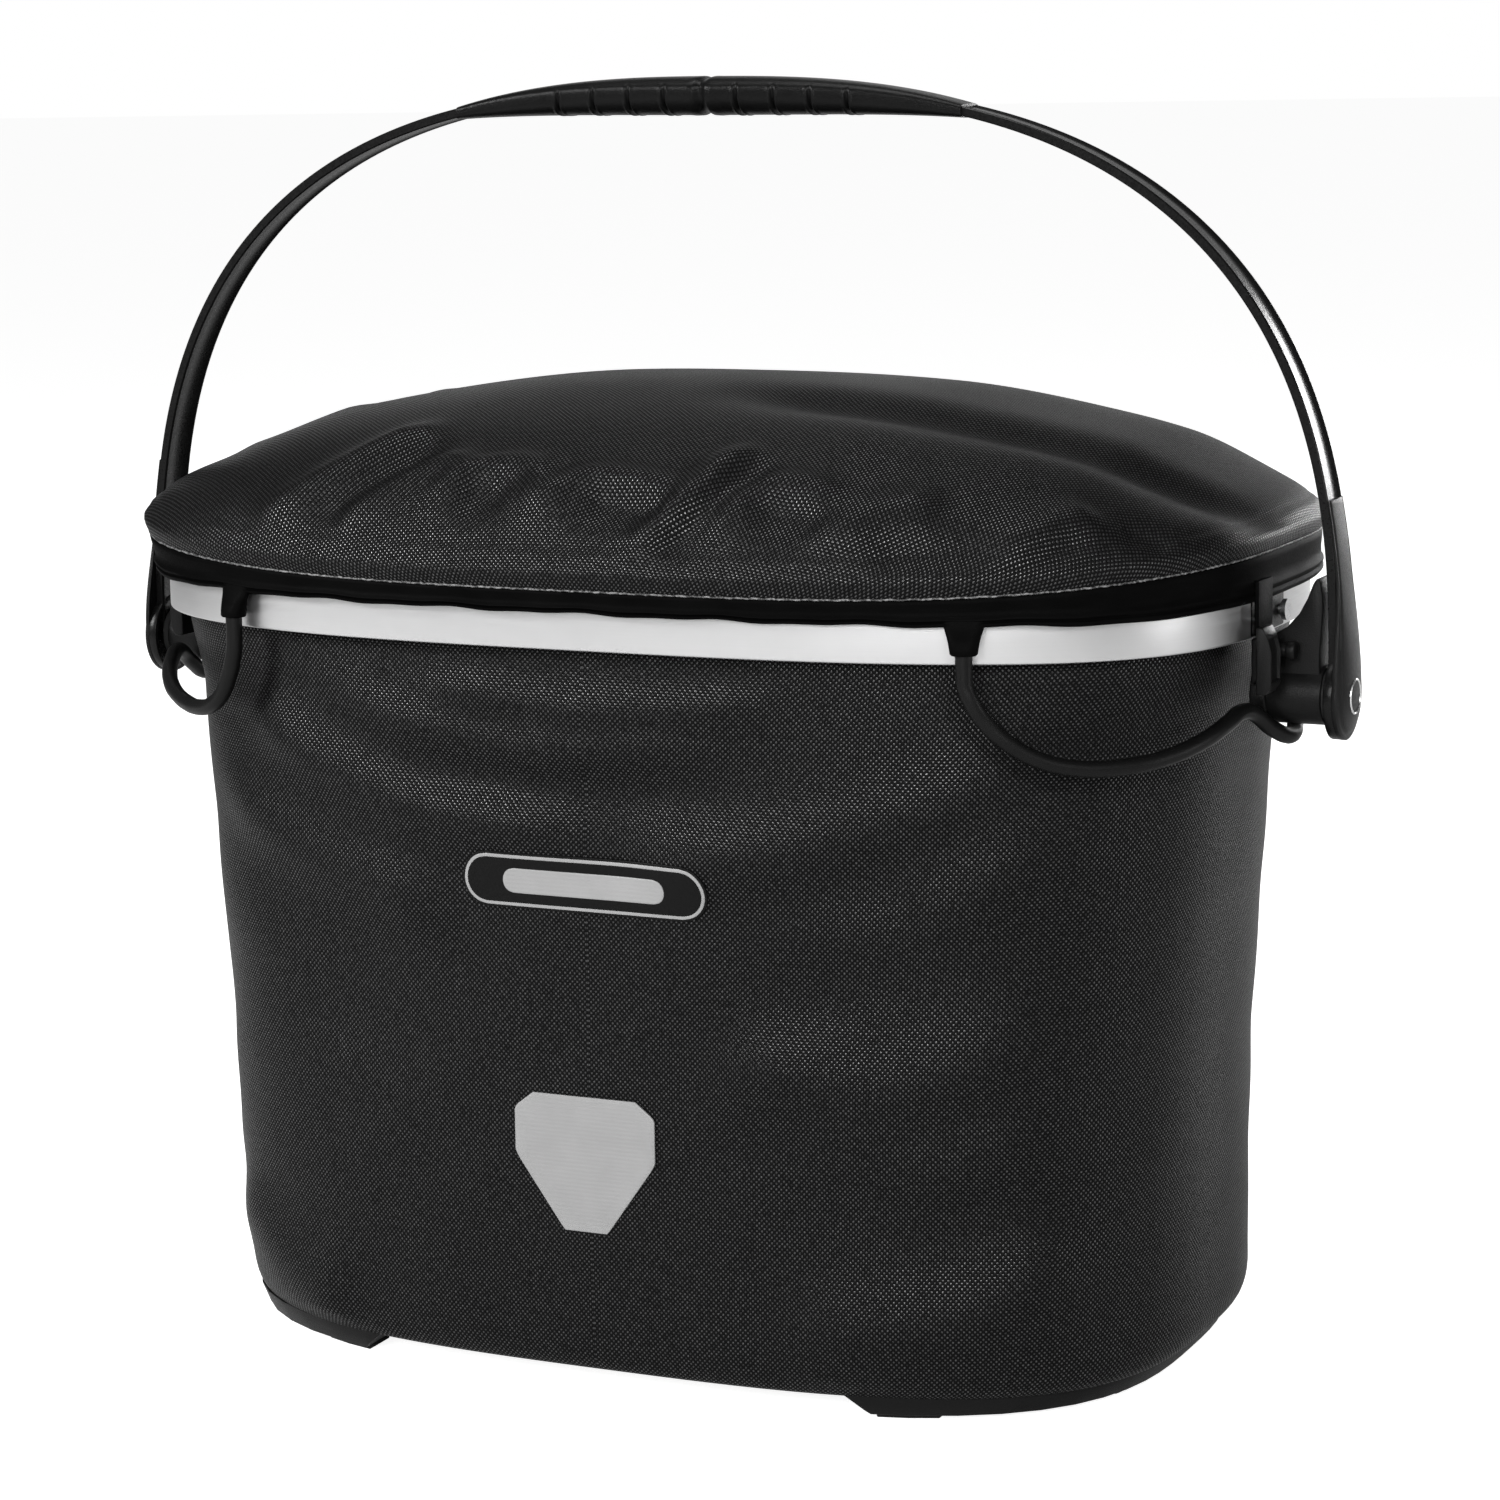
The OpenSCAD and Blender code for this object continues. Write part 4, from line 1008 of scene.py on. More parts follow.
cover_fullness = 1.25
cover_folds = [
    # (line over the flat cover, half width, height), along the front from the left end to the right one;
    # the cover's fullness makes every fold deeper
    (bend_line((-0.138, -0.122), (-0.114, -0.115), (-0.090, -0.096), (-0.070, -0.074)), 0.0055, 0.0032),
    (bend_line((-0.112, -0.127), (-0.088, -0.115), (-0.062, -0.090)), 0.0050, -0.0022),
    (bend_line((-0.099, -0.132), (-0.078, -0.118), (-0.058, -0.106), (-0.041, -0.106)), 0.0045, 0.0026),
    (bend_line((-0.064, -0.130), (-0.053, -0.116), (-0.038, -0.107), (-0.022, -0.110), (-0.016, -0.136)),
     0.0042, 0.0028),
    (bend_line((-0.048, -0.123), (-0.030, -0.120)), 0.0060, -0.0022),
    (bend_line((-0.007, -0.137), (-0.011, -0.121), (0.000, -0.112), (0.020, -0.113), (0.040, -0.118)),
     0.0042, 0.0030),
    (bend_line((-0.002, -0.124), (0.018, -0.124), (0.036, -0.126)), 0.0055, -0.0028),
    (bend_line((0.020, -0.144), (0.032, -0.132), (0.042, -0.116), (0.047, -0.100), (0.056, -0.088)),
     0.0050, 0.0036),
    (bend_line((0.030, -0.142), (0.046, -0.128), (0.055, -0.110), (0.062, -0.096)), 0.0045, -0.0028),
    (bend_line((0.053, -0.138), (0.054, -0.124), (0.060, -0.113), (0.076, -0.109), (0.096, -0.118)),
     0.0045, 0.0030),
    (bend_line((0.064, -0.126), (0.078, -0.122), (0.090, -0.126)), 0.0060, -0.0022),
    (bend_line((0.098, -0.134), (0.100, -0.120), (0.110, -0.111), (0.128, -0.104)), 0.0060, 0.0022),
    (bend_line((0.108, -0.130), (0.130, -0.122), (0.148, -0.112)), 0.0050, -0.0016),
    (bend_line((0.148, -0.117), (0.158, -0.106), (0.166, -0.092), (0.170, -0.080)), 0.0060, 0.0024),
    (bend_line((0.154, -0.118), (0.164, -0.108), (0.172, -0.094)), 0.0035, -0.0014),
    (bend_line((0.178, -0.086), (0.190, -0.080), (0.198, -0.084)), 0.0040, -0.0016),
    # the long trough over the top, towards the right end
    (bend_line((0.000, -0.038), (0.083, -0.045), (0.136, -0.042), (0.171, -0.038), (0.203, -0.020),
               (0.214, 0.014)), 0.0100, -0.0036),
    # the left end and the rear
    (bend_line((-0.190, -0.040), (-0.165, -0.020), (-0.130, -0.010)), 0.0100, 0.0018),
    (bend_line((-0.195, 0.050), (-0.160, 0.040), (-0.120, 0.045)), 0.0100, 0.0020),
    (bend_line((-0.120, 0.125), (-0.090, 0.105), (-0.060, 0.080)), 0.0080, 0.0026),
    (bend_line((-0.030, 0.135), (-0.010, 0.112), (0.020, 0.100)), 0.0070, 0.0024),
    (bend_line((0.060, 0.132), (0.085, 0.108), (0.120, 0.095)), 0.0080, 0.0026),
    (bend_line((0.140, 0.115), (0.160, 0.090)), 0.0070, -0.0018),
]


corner_bulge = 0.0030


def end_bulge(x, y):
    """How far the cover's front left corner stands out past its hem's own line."""
    to_left, to_front = -np.asarray(x), -np.asarray(y)
    return corner_bulge * smooth_step(0.120, 0.190, to_left) * smooth_step(0.030, 0.055, to_front)


def cover_point_rings():
    """Rings of points from the seam up to the crown, and each point's place on the flat cloth."""
    angles = np.array(oval_angles(cover_around)) - math.pi / 2
    rings, flats = [], []
    edge = np.array([oval_point(rim_half_w + hem_out, rim_half_d + hem_out, a) for a in angles])
    seam = seam_height(edge[:, 0])
    run = np.zeros(len(edge))
    before = None
    for k in range(cover_rings):
        rise = math.pi / 2 * k / cover_rings
        share = math.cos(rise) ** (2 / dome_plan)
        lift = (1 - share**dome_plan) ** dome_crown
        slack = cover_slack
        for end, begins, full, hang in cover_sags:
            slack = slack + hang * smooth_step(begins, full, end * edge[:, 0] * share)
        z = seam + (dome_top - seam) * lift - slack * smooth_step(0.10, 0.65, lift)
        plan = edge * share
        # the cloth bellies out a little over the seam
        belly = cover_belly + left_belly * smooth_step(0.10, 0.19, -edge[:, 0])
        belly = belly * math.sin(math.pi * min(k / 9, 1))
        plan = plan * (1 + belly / np.linalg.norm(edge, axis=1))[:, None]
        plan[:, 0] -= end_bulge(edge[:, 0], edge[:, 1]) * share
        ring = np.column_stack([plan, z])
        if before is not None:
            run = run + np.linalg.norm(ring - before, axis=1)
        before = ring
        rings.append(ring)
        flats.append(run.copy())
    total = run + np.linalg.norm(before[:, :2], axis=1)
    directions = edge / np.linalg.norm(edge, axis=1)[:, None]
    places = [directions * (total - f)[:, None] for f in flats]
    return rings, places


def grid_normals(rings):
    grid = np.array(rings)
    along = np.roll(grid, -1, axis=1) - np.roll(grid, 1, axis=1)
    up = np.gradient(grid, axis=0)
    normals = np.cross(along, up)
    normals /= np.maximum(np.linalg.norm(normals, axis=2), 1e-12)[:, :, None]
    return normals


cover_point_grid, cover_flat_places = cover_point_rings()
cover_normals = grid_normals(cover_point_grid)
folded_rings = []
for k, (ring, normals, places) in enumerate(zip(cover_point_grid, cover_normals, cover_flat_places)):
    lift = sum(crease(line, places, width, height * cover_fullness) for line, width, height in cover_folds)
    # a flatter strip runs along the seam, and the folds start above it
    hold = smooth_step(4.0, 7.5, k)
    strip = -0.0007 * math.exp(-0.5 * ((k - 5.6) / 0.8) ** 2)
    folded_rings.append(ring + normals * (lift * hold + strip)[:, None] + np.array(rim_centre))
crown = folded_rings[-1].mean(axis=0)
folded_rings.append(np.repeat(crown[None, :], cover_around, axis=0))
cover_flat_places.append(np.zeros((cover_around, 2)))


def cover_cloth_place(row, column):
    return tuple(cover_flat_places[row][column % cover_around])


cover_panel = loft_sheet("cover_panel", folded_rings, uv=cover_cloth_place)
merge_and_face_out(cover_panel)
thicken(cover_panel, cover_cloth)
smooth_by_angle(cover_panel, 70)
cover_panel.data.materials.append(coated_weave)
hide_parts("cover_dome")
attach(cover_panel, "cover")


def finish_smooth_hem():
    """Smooth coated cloth, darker and duller than the weave, with soft crumples along the elastic; its colour
    follows the crumples, with painted shade in their hollows.
    """
    finish, tree, shader = start_finish("smooth_hem", grey(0.002), 0.5, Specular_IOR_Level=0.01)
    skin = grain(tree, surface_place(tree), 1500, 3)
    crumple = grain(tree, surface_place(tree, (60, 60, 180)), 1, 3)
    # the colour follows the crumples' relief: painted shade, darker in their hollows and lighter on their
    # tops
    colour_and_gloss(tree, shader, crumple, grey(0.0006), grey(0.0022), skin, 0.44, 0.60)
    under = relief(tree, shader, skin, 0.00010, 0.6)
    relief(tree, shader, crumple, 0.0006, 0.35, under)
    return finish


smooth_hem = finish_smooth_hem()
hem_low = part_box("cover_hem")[0][2] - rim_centre.z
hem_section = [
    # (share of the way down from the seam, distance out from the rim)
    (-0.06, 0.0024), (0.00, 0.0031), (0.05, 0.0037), (0.20, 0.0037), (0.45, 0.0034), (0.66, 0.0035),
    (0.72, 0.0042), (0.78, 0.0043), (0.83, 0.0036), (0.87, 0.0035), (0.91, 0.0042), (0.97, 0.0042),
    (1.03, 0.0035), (1.05, 0.0024), (1.03, 0.0014), (0.96, 0.0008), (0.50, 0.0008), (0.05, 0.0008),
    (-0.03, 0.0012),
]
hem_angles = np.array(oval_angles(cover_around)) - math.pi / 2
hem_rows = []
for down, out in hem_section:
    points = np.array([oval_point(rim_half_w + out, rim_half_d + out, a) for a in hem_angles])
    top = seam_height(points[:, 0])
    wave = 0.0003 * np.sin(points[:, 0] * 130 + 1.3) + 0.0002 * np.sin(points[:, 0] * 260)
    points[:, 0] -= end_bulge(points[:, 0], points[:, 1]) * min(max(1 - down, 0), 1)
    z = top + (hem_low - top) * down + wave * max(down, 0)
    hem_rows.append(np.column_stack([points, z]) + np.array(rim_centre))
hem_rows.append(hem_rows[0])
hem_band = loft_sheet("cover_hem_band", hem_rows)
merge_and_face_out(hem_band)
smooth_by_angle(hem_band, 60)
hem_band.data.materials.append(smooth_hem)
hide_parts("cover_hem")
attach(hem_band, "cover")
give_finish("hem_elastic", smooth_hem)


def finish_seam_edge_glint():
    """Grey thread and the cut edge of the weave along the seam; their pale grey is partly a painted glint
    along the edge, broken up where it dips under the coating.
    """
    finish, tree, shader = start_finish("seam_edge_glint", grey(0.10), 0.5)
    broken = grain(tree, surface_place(tree), 700, 3)
    # where the pale grey shows, it is partly a painted glint along the seam's edge
    painted_glint_shows = spread(tree, broken, 0, 1, 0.44, 0.62)
    tree.links.new(tone(tree, painted_glint_shows, grey(0.006), grey(0.14)), shader.inputs["Base Color"])
    relief(tree, shader, broken, 0.0003, 0.8)
    return finish


seam_edge_glint = finish_seam_edge_glint()
# a thin tube along the seam for the cut edge, in a pale grey that is partly a painted glint
seam_edge_r = 0.00035
seam_section = [(seam_edge_r * math.cos(a), seam_edge_r * math.sin(a)) for a in oval_angles(8)]
seam_edge = sweep_section("seam_edge", oval_path(hem_out + 0.00025, 720), seam_section)
for vertex in seam_edge.data.vertices:
    vertex.co.x -= end_bulge(vertex.co.x, vertex.co.y)
    stitch = 0.00012 * math.sin(vertex.co.x * 2100 + vertex.co.y * 1700)
    vertex.co.z += seam_height(vertex.co.x) + 0.0003 + stitch
move_mesh(seam_edge, rim_centre)
smooth_by_angle(seam_edge, 80)
seam_edge.data.materials.append(seam_edge_glint)
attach(seam_edge, "cover")


# ---- Cord tabs ----
# Each end of an elastic loop goes up into a small tab folded from the hem's cloth, which is gathered round
# the cord and sewn flat against the hem above it. There are four, one near each corner.
tab_x = 0.132
tab_y = -0.8890 * rim_half_d
tab_around = 28
tab_sections = [
    # (height, half width, half depth, distance out from the rim), from the cup's mouth up to the hem
    (0.0040, 0.0040, 0.0034, 0.0044), (0.0045, 0.0045, 0.0037, 0.0044), (0.0060, 0.0047, 0.0036, 0.0043),
    (0.0078, 0.0050, 0.0032, 0.0041), (0.0098, 0.0055, 0.0027, 0.0037), (0.0116, 0.0061, 0.0021, 0.0032),
    (0.0135, 0.0066, 0.0017, 0.0028), (0.0160, 0.0068, 0.0013, 0.0025),
]
tab_mouth = tab_sections[0]
tab_out = Vector((tab_x**2 / rim_half_w**3, -(tab_y**2) / rim_half_d**3, 0)).normalized()
tab_along = Vector((-tab_out.y, tab_out.x, 0))
loop_end_x, loop_end_y = right_loop_route[0][:2]
tab_foot = Vector((loop_end_x, loop_end_y, 0)) - tab_out * tab_mouth[3]


def close_ends(piece):
    """Fills a loft's two open ends and turns its faces out."""
    select_only(piece)
    bpy.ops.object.mode_set(mode="EDIT")
    bpy.ops.mesh.select_mode(type="EDGE")
    bpy.ops.mesh.select_all(action="DESELECT")
    bpy.ops.mesh.select_non_manifold()
    bpy.ops.mesh.fill_holes(sides=0)
    bpy.ops.mesh.select_all(action="SELECT")
    bpy.ops.mesh.normals_make_consistent(inside=False)
    bpy.ops.object.mode_set(mode="OBJECT")


def sewn_tab(name):
    """The front right tab: a round mouth that turns in and up, then rings widened up to the hem."""
    mouth_z, _, _, mouth_out = tab_mouth
    mouth_rings = ((0.003, 0.0028), (0.0006, 0.0029), (0, 0.0031))
    mouth_sections = [(mouth_z + up, r, r, mouth_out) for up, r in mouth_rings]
    rows = []
    for squareness, sections in ((2, mouth_sections), (2.6, tab_sections)):
        for z, half_w, half_d, out in sections:
            row = []
            for angle in oval_angles(tab_around):
                along, away = oval_point(half_w, half_d, angle, squareness)
                row.append(tab_foot + tab_along * along + tab_out * (out + away) + Vector((0, 0, z)))
            rows.append(row)
    tab = loft_sheet(name, rows)
    close_ends(tab)
    smooth_by_angle(tab, 50)
    tab.data.materials.append(smooth_hem)
    return tab


tab_front_right = sewn_tab("cord_tab_front_right")
tab_front_left = mirrored_piece(tab_front_right, "cord_tab_front_left")
front_tabs = [tab_front_right, tab_front_left]
rear_tabs = [mirrored_piece(tab, tab.name.replace("front", "rear"), (0, 1, 0)) for tab in front_tabs]
cord_tabs = join_pieces("sewn_cord_tabs", *front_tabs, *rear_tabs)
move_mesh(cord_tabs, rim_centre)
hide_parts("cord_tabs", "cord_ferrules")
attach(cord_tabs, "cover")


# ---- Cover hooks ----
# At each end a short strap of the hem's cloth carries a black plastic hook, which catches on the bracket's
# peg and holds the cover down. The strap is folded double and sewn under the hem.
strap_low, strap_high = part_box("hook_straps")
strap = rounded_copy("hook_straps", "hook_webbing", 0.0003, 2)
strap_middle = (strap_low[1] + strap_high[1]) / 2
strap_widening = 1.45
strap_shift = 0.0024
for vertex in strap.data.vertices:
    vertex.co.y = strap_middle + (vertex.co.y - strap_middle) * strap_widening + strap_shift
strap.data.materials.append(smooth_hem)
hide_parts("hook_straps")
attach(strap, "cover")
hook_front = hinge_y - 0.0260
hook_rear = hinge_y - 0.0149
hook_profile = [
    (0.2040, 0.0050), (0.2062, 0.0050), (0.2078, 0.0020), (0.2092, -0.0030), (0.2092, -0.0140),
    (0.2074, -0.0170), (0.2040, -0.0170),
]
hook = plate_from_outline("cover_hook_moulding_right", hook_profile, hook_front, hook_rear)
select_faces(hook, lambda middle, normal: normal.x > 0.95)
bpy.ops.mesh.inset(thickness=0.0012)
bpy.ops.mesh.extrude_region_move(TRANSFORM_OT_translate={"value": (-0.0011, 0, 0)})
bpy.ops.object.mode_set(mode="OBJECT")
add_bevel(hook, 0.0005, 3, 25)
smooth_by_angle(hook, 35)
hook.data.materials.append(black_plastic)
hook_left = mirrored_piece(hook, "cover_hook_moulding_left")
for side, piece in (("right", hook), ("left", hook_left)):
    move_mesh(piece, rim_centre)
    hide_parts(f"cover_hook_{side}")
    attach(piece, "cover")


# ---- Carry bow ----
# The bow is one flat bar of black anodised aluminium with a bead along both edges, bent to an arch and
# ended in round discs that turn on the pivot bolts.
bow_in_x = boss_out_x + 0.0020
bow_t = 0.0032
bow_mid_x = bow_in_x + bow_t / 2
bow_rise = 0.1885
leg_top = -0.0103
bow_mx, bow_mz = 2.72, 2.51
bow_leg_w, bow_top_w = 0.017, 0.0145


def arch_point(turn):
    c, s = math.cos(turn), max(math.sin(turn), 0)
    return bow_mid_x * math.copysign(abs(c) ** (2 / bow_mx), c), leg_top + bow_rise * s ** (2 / bow_mz)


def arch_height(x):
    return leg_top + bow_rise * (1 - (np.abs(x) / bow_mid_x) ** bow_mx) ** (1 / bow_mz)


def finish_bow_black():
    """Black anodised bar: satin, with a fine orange-peel and faint clouding."""
    finish, tree, shader = start_finish("bow_black", grey(0.004), 0.3, Specular_IOR_Level=0.12)
    peel = grain(tree, surface_place(tree), 900, 3)
    broad = grain(tree, surface_place(tree), 30, 3)
    colour_and_gloss(tree, shader, broad, grey(0.002), grey(0.005), peel, 0.24, 0.36)
    relief(tree, shader, peel, 0.00010, 0.5)
    return finish


bow_black = finish_bow_black()
bar_section = [
    # (through the bar, across it), with a bead along each edge and a hollow face between them
    (0.0016, -0.0080), (0.0012, -0.0085), (-0.0012, -0.0085), (-0.0016, -0.0080), (-0.0016, -0.0073),
    (-0.0012, -0.0068), (-0.0012, 0.0068), (-0.0016, 0.0073), (-0.0016, 0.0080), (-0.0012, 0.0085),
    (0.0012, 0.0085), (0.0016, 0.0080), (0.0016, 0.0073), (0.0013, 0.0068), (0.0013, -0.0068),
    (0.0016, -0.0073),
]
bow_steps = 160
bow_arch = [arch_point(math.pi * k / bow_steps) for k in range(1, bow_steps)]
bow_path = [(bow_mid_x, hinge_z), *bow_arch, (-bow_mid_x, hinge_z)]
bow_bar = sweep_section("bow_bar", bow_path, bar_section, cyclic=False)
for vertex in bow_bar.data.vertices:
    x, height, across = vertex.co
    share = min(max((height - hinge_z) / (leg_top + bow_rise * 0.95 - hinge_z), 0), 1)
    taper = 1 + (bow_top_w / bow_leg_w - 1) * share
    vertex.co = (x, across * taper + hinge_y, height)
bow_discs = []
disc_r = 0.0145
for mirror in (1, -1):
    disc_x = mirror * bow_mid_x
    disc = rod_along_x("bow_disc", disc_r, disc_x - bow_t / 2, disc_x + bow_t / 2, vertices=72)
    select_faces(disc, lambda middle, normal: normal.x * mirror < -0.9)
    bpy.ops.mesh.inset(thickness=0.0016)
    bpy.ops.mesh.inset(thickness=0.0006)
    bpy.ops.transform.translate(value=(mirror * 0.0005, 0, 0))
    bpy.ops.object.mode_set(mode="OBJECT")
    add_bevel(disc, 0.0004, 2, 40)
    bow_discs.append(disc)
carry_bow = join_pieces("carry_bow_bar", bow_bar, *bow_discs)
merge_and_face_out(carry_bow)
smooth_by_angle(carry_bow, 45)
move_mesh(carry_bow, rim_centre)
carry_bow.data.materials.append(bow_black)
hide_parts("carry_bow")
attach(carry_bow, "bow")


# ---- Grip ----
# A soft-touch sleeve is moulded over the top of the bow. It swells under the fingers, thins out to the bar
# at both ends, and has nine grooves on its underside, of which the middle one is the widest.
grip_low, grip_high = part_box("bow_grip")
grip_half = (grip_high[0] - grip_low[0]) / 2
grip_end_skin, grip_top_t, grip_under_t = 0.0007, 0.0030, 0.0071
grip_half_w = 0.0105
groove_pitch = 0.0136
groove_deep = 0.00125
groove_lip = 0.00028
groove_w, centre_groove_w = 0.00045, 0.0013
grooves = [(k * groove_pitch, groove_w if k else centre_groove_w) for k in range(-4, 5)]
grip_around = 56


def grip_swell(x, end, middle):
    return end + (middle - end) * (1 - (abs(x) / grip_half) ** 2.4)


def grip_sections():
    stations = set(np.round(np.linspace(-grip_half, grip_half, 81), 5))
    for place, _ in grooves:
        stations |= set(np.round(place + np.linspace(-0.0026, 0.0026, 21), 5))
    rows = []
    for x in sorted(stations):
        top = grip_swell(x, grip_end_skin, grip_top_t)
        under = grip_swell(x, grip_end_skin, grip_under_t)
        half_w = grip_swell(x, bow_top_w / 2 + 0.0010, grip_half_w)
        square = 4.2 - 1.9 * (1 - (abs(x) / grip_half) ** 2.0)
        middle = float(arch_height(x))
        groove_cut = 0.0
        for place, width in grooves:
            gap = abs(x - place) / width
            if gap < 5:
                groove_cut += groove_deep * math.exp(-0.5 * gap**2)
                groove_cut -= groove_lip * math.exp(-0.5 * (gap - 2.6) ** 2)
        row = []
        for angle in oval_angles(grip_around):
            up = math.sin(angle)
            reach = bow_t / 2 + (top if up > 0 else under)
            # the grooves are cut into the underside, and the centre one runs up the sides as well
            low_share = min(max(0.50 - up * 0.90, 0), 1)
            cut = groove_cut * (min(low_share + 0.6, 1) if abs(x) < 0.004 else low_share)
            y, z = oval_point(half_w - cut, reach - cut, angle, square)
            row.append((x, hinge_y + y, middle + z))
        rows.append(row)
    return rows


grip = loft_sheet("grip_sleeve", grip_sections())
close_ends(grip)
smooth_by_angle(grip, 50)
move_mesh(grip, rim_centre)
grip_soft = finish_moulded("grip_soft", grey(0.002), grey(0.0045), 0.26, 0.38, 1600, 0.08)
grip.data.materials.append(grip_soft)
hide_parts("bow_grip")
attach(grip, "bow")


# ---- Bow caps ----
# A domed cap in the same black clips over each disc and runs up the outside of the bar in a teardrop.
# A bare bright ring is set into its middle.
cap_top_z = 0.045
cap_disc_r = 0.0146
cap_crown = 0.0040
cap_rim = 0.0012
cap_groove = 0.0004
cap_across = 29


def cap_half_width(z):
    """Half width of the teardrop at that height: the disc below, the bar above."""
    if z < hinge_z + 0.004:
        return math.sqrt(max(cap_disc_r**2 - (z - hinge_z) ** 2, 0))
    share = smooth_step(hinge_z + 0.004, 0.022, z)
    start = math.sqrt(cap_disc_r**2 - 0.004**2)
    return start + (0.0080 - start) * share


def bow_outer_x(z):
    """The bar's outer face at that height."""
    if z < leg_top:
        return bow_in_x + bow_t
    share = ((z - leg_top) / bow_rise) ** bow_mz
    return bow_mid_x * (1 - share) ** (1 / bow_mx) + bow_t / 2


def cap_shell(name):
    """Rows up the teardrop: a low dome over the disc that dies into the bar."""
    disc_heights = hinge_z - cap_disc_r * np.cos(np.linspace(0.03, math.pi / 2, 26))
    bar_heights = np.linspace(hinge_z, cap_top_z, 46)[1:]
    shares = np.linspace(-1, 1, cap_across)
    rows = []
    for z in [*disc_heights, *bar_heights]:
        half = max(cap_half_width(z), 0.0006)
        rim = cap_rim * (1 - 0.8 * smooth_step(0.0, cap_top_z, z))
        fall = 1 - 0.86 * smooth_step(hinge_z, 0.020, z)
        row = []
        for u in shares:
            from_pivot = math.hypot(u * half, z - hinge_z) / cap_disc_r if z < hinge_z else abs(u)
            dome = (cap_crown - rim) * max(1 - min(from_pivot, 1) ** 2.2, 0) ** 0.8 * fall
            # a groove runs just inside the edge
            groove = cap_groove * math.exp(-0.5 * ((min(from_pivot, 1) - 0.86) / 0.03) ** 2)
            row.append((bow_outer_x(z) + rim + dome - groove, hinge_y + half * u, z))
        row += [(bow_outer_x(z) - 0.0001, hinge_y + half * u * 0.995, z) for u in shares[::-1]]
        rows.append(row)
    cap = loft_sheet(name, rows)
    close_ends(cap)
    add_bevel(cap, 0.0004, 2, 50)
    smooth_by_angle(cap, 40)
    return cap


cap_black = finish_moulded("cap_black", grey(0.003), grey(0.006), 0.32, 0.46, 1800)
cap_right = cap_shell("bow_cap_shell_right")
cap_right.data.materials.append(cap_black)
cap_left = mirrored_piece(cap_right, "bow_cap_shell_left")
for side, cap in (("right", cap_right), ("left", cap_left)):
    move_mesh(cap, rim_centre)
    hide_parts(f"bow_cap_{side}")
    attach(cap, "bow")


def finish_bright_ring():
    finish, tree, shader = start_finish("bright_ring", grey(0.6), 0.25, Metallic=1.0)
    marks = grain(tree, surface_place(tree), 1500, 2)
    colour_and_gloss(tree, shader, marks, grey(0.5), grey(0.7), marks, 0.2, 0.36)
    return finish


bright_ring = finish_bright_ring()
ring_r, ring_wire_r = 0.0056, 0.00042
rings = []
for side, mirror in (("right", 1), ("left", -1)):
    ring_x = mirror * (bow_in_x + bow_t + cap_crown - 0.0003)
    bpy.ops.mesh.primitive_torus_add(
        major_radius=ring_r, minor_radius=ring_wire_r, major_segments=64, minor_segments=12,
        location=(ring_x, hinge_y, hinge_z), rotation=(0, math.pi / 2, 0))
    ring = bpy.context.active_object
    ring.name = f"cap_ring_{side}"
    select_only(ring)
    bpy.ops.object.transform_apply(location=True, rotation=True, scale=True)
    bpy.ops.object.shade_smooth()
    rings.append(ring)
cap_ring_pair = join_pieces("cap_ring_pair", *rings)
move_mesh(cap_ring_pair, rim_centre)
cap_ring_pair.data.materials.append(bright_ring)
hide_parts("cap_rings")
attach(cap_ring_pair, "bow")


# ---- Stage and light ----
# A plain pale floor and surround, and seven soft lights: a wide glow behind, a softbox overhead, one on each
# side, two in front and one at the rear. None of it is part of the basket.
def brighter_when_seen(tree, hidden, seen):
    """A strength for the camera's own rays, and a lower one for the light that reaches the basket."""
    ray = tree.nodes.new("ShaderNodeLightPath")
    strength = tree.nodes.new("ShaderNodeMapRange")
    strength.inputs["To Min"].default_value = hidden
    strength.inputs["To Max"].default_value = seen
    tree.links.new(ray.outputs["Is Camera Ray"], strength.inputs["Value"])
    return strength.outputs["Result"]


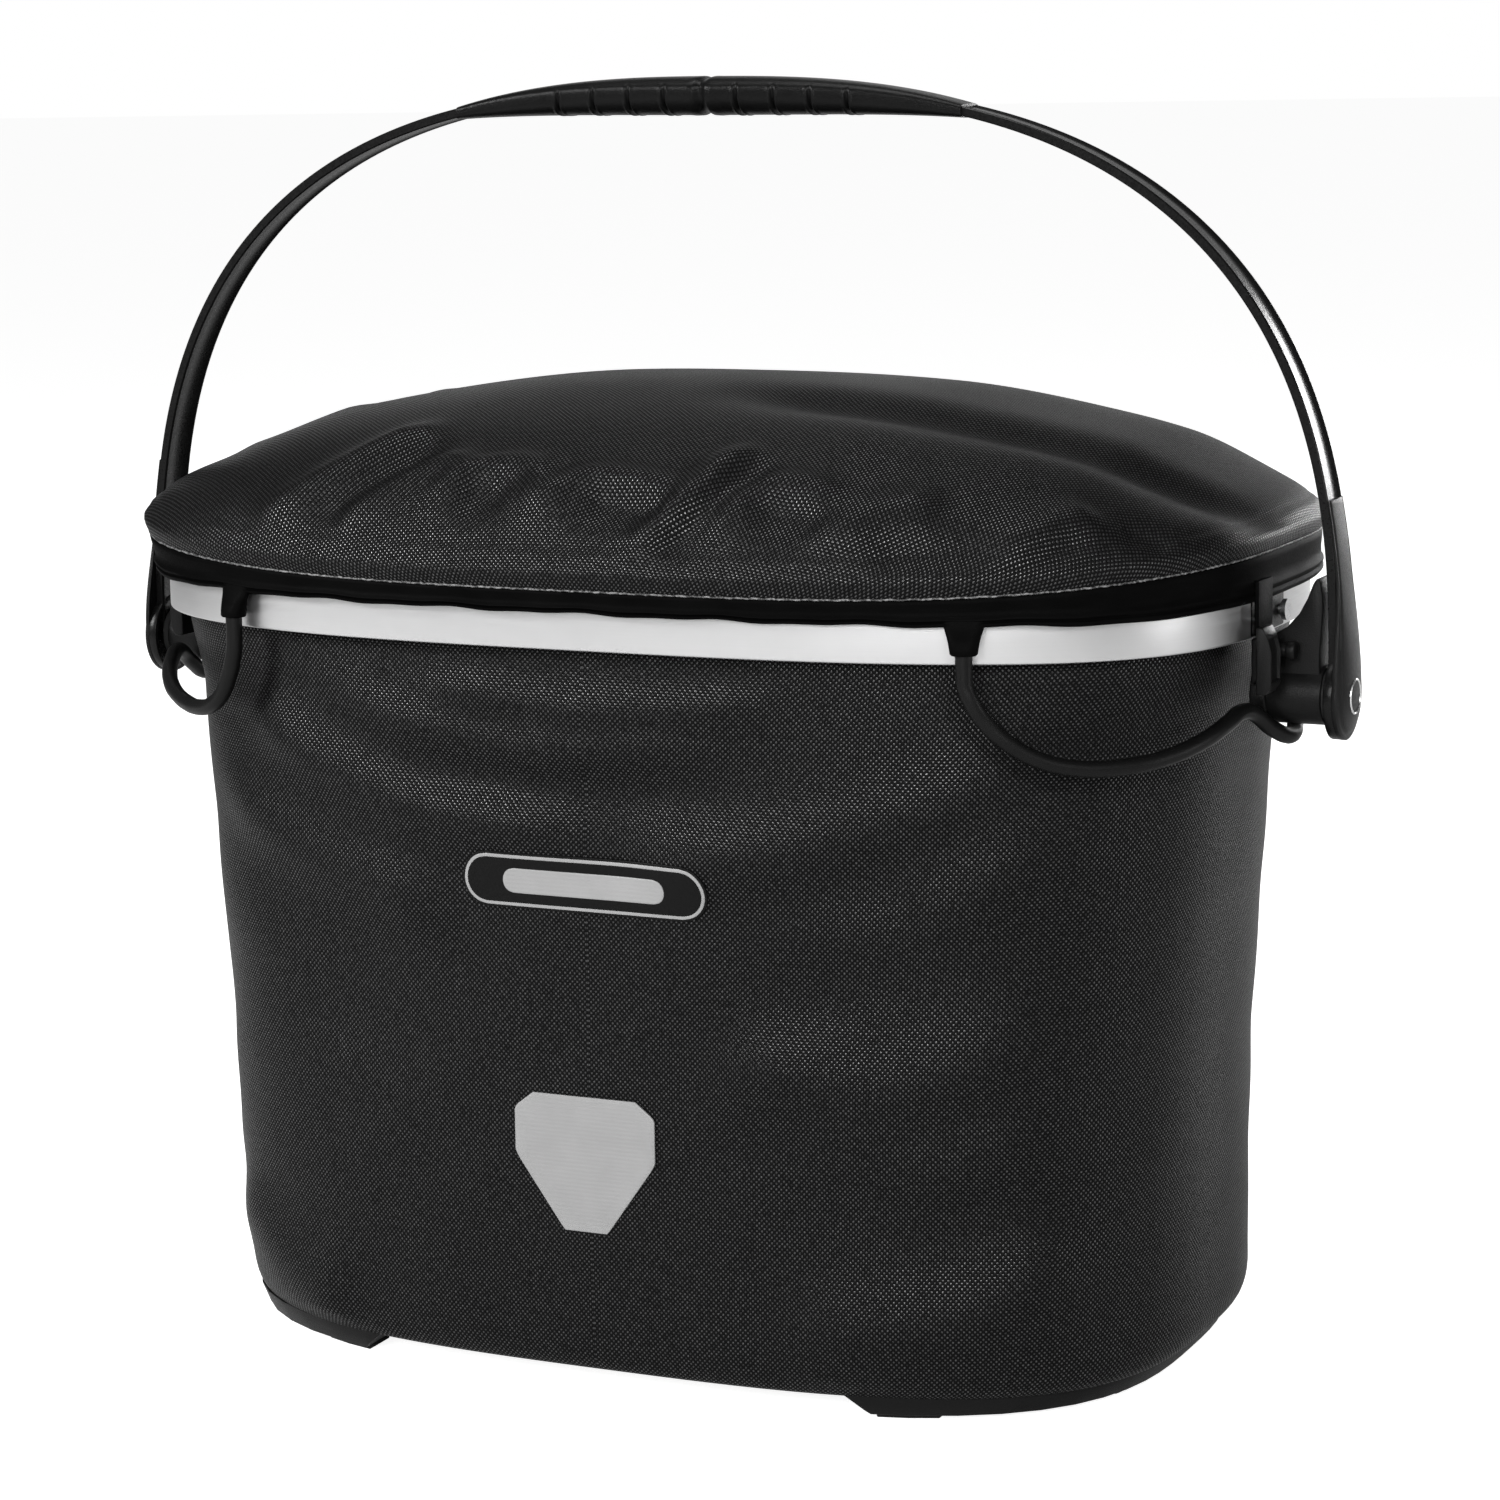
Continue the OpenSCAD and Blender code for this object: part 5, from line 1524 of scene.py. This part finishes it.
def finish_floor():
    finish, tree, shader = start_finish("studio_floor", grey(0.60), 0.8)
    shader.inputs["Emission Color"].default_value = (1, 1, 1, 1)
    tree.links.new(brighter_when_seen(tree, 0.10, 0.90), shader.inputs["Emission Strength"])
    speckle = grain(tree, surface_place(tree), 40, 2)
    tree.links.new(tone(tree, speckle, grey(0.58), grey(0.61)), shader.inputs["Base Color"])
    return finish


bpy.ops.mesh.primitive_plane_add(size=60, location=(0, 0, 0))
studio_floor = bpy.context.active_object
studio_floor.name = "studio_floor"
studio_floor.data.materials.append(finish_floor())

bpy.context.scene.view_settings.view_transform = "Standard"
world = bpy.data.worlds.new("studio_surround")
bpy.context.scene.world = world
world.use_nodes = True
surround = world.node_tree.nodes["Background"]
surround.inputs["Color"].default_value = (1, 1, 1, 1)
world.node_tree.links.new(brighter_when_seen(world.node_tree, 0.10, 1.0), surround.inputs["Strength"])


def add_soft_light(name, place, aim, size, power):
    """A softbox of that width and height in metres, and that power in watts."""
    light_data = bpy.data.lights.new(name, "AREA")
    light_data.shape = "RECTANGLE"
    light_data.size, light_data.size_y = size
    light_data.energy = power
    light = bpy.data.objects.new(name, light_data)
    bpy.context.collection.objects.link(light)
    place, aim = Vector(place), Vector(aim)
    facing = (aim - place).to_track_quat("-Z", "Y").to_matrix().to_4x4()
    light.matrix_world = Matrix.Translation(place) @ facing


add_soft_light("backdrop_glow", (-0.6, 2.8, 0.9), (0, 0, 0.25), (3.4, 1.5), 10)
add_soft_light("top_softbox", (-0.25, 0.05, 1.9), (0, 0, 0.2), (1.2, 0.45), 14)
add_soft_light("left_softbox", (-1.35, -1.25, 1.15), (0, 0, 0.25), (0.45, 0.6), 44)
add_soft_light("front_softbox", (0.25, -2.0, 0.85), (0, 0, 0.15), (0.5, 0.28), 25)
add_soft_light("front_right_softbox", (1.1, -1.5, 1.15), (0.1, 0, 0.25), (0.35, 0.45), 24)
add_soft_light("rear_softbox", (0.5, 2.1, 0.45), (0, 0, 0.2), (0.6, 0.5), 12)
add_soft_light("right_softbox", (1.9, 0.15, 0.5), (0, 0, 0.25), (0.5, 0.8), 9)
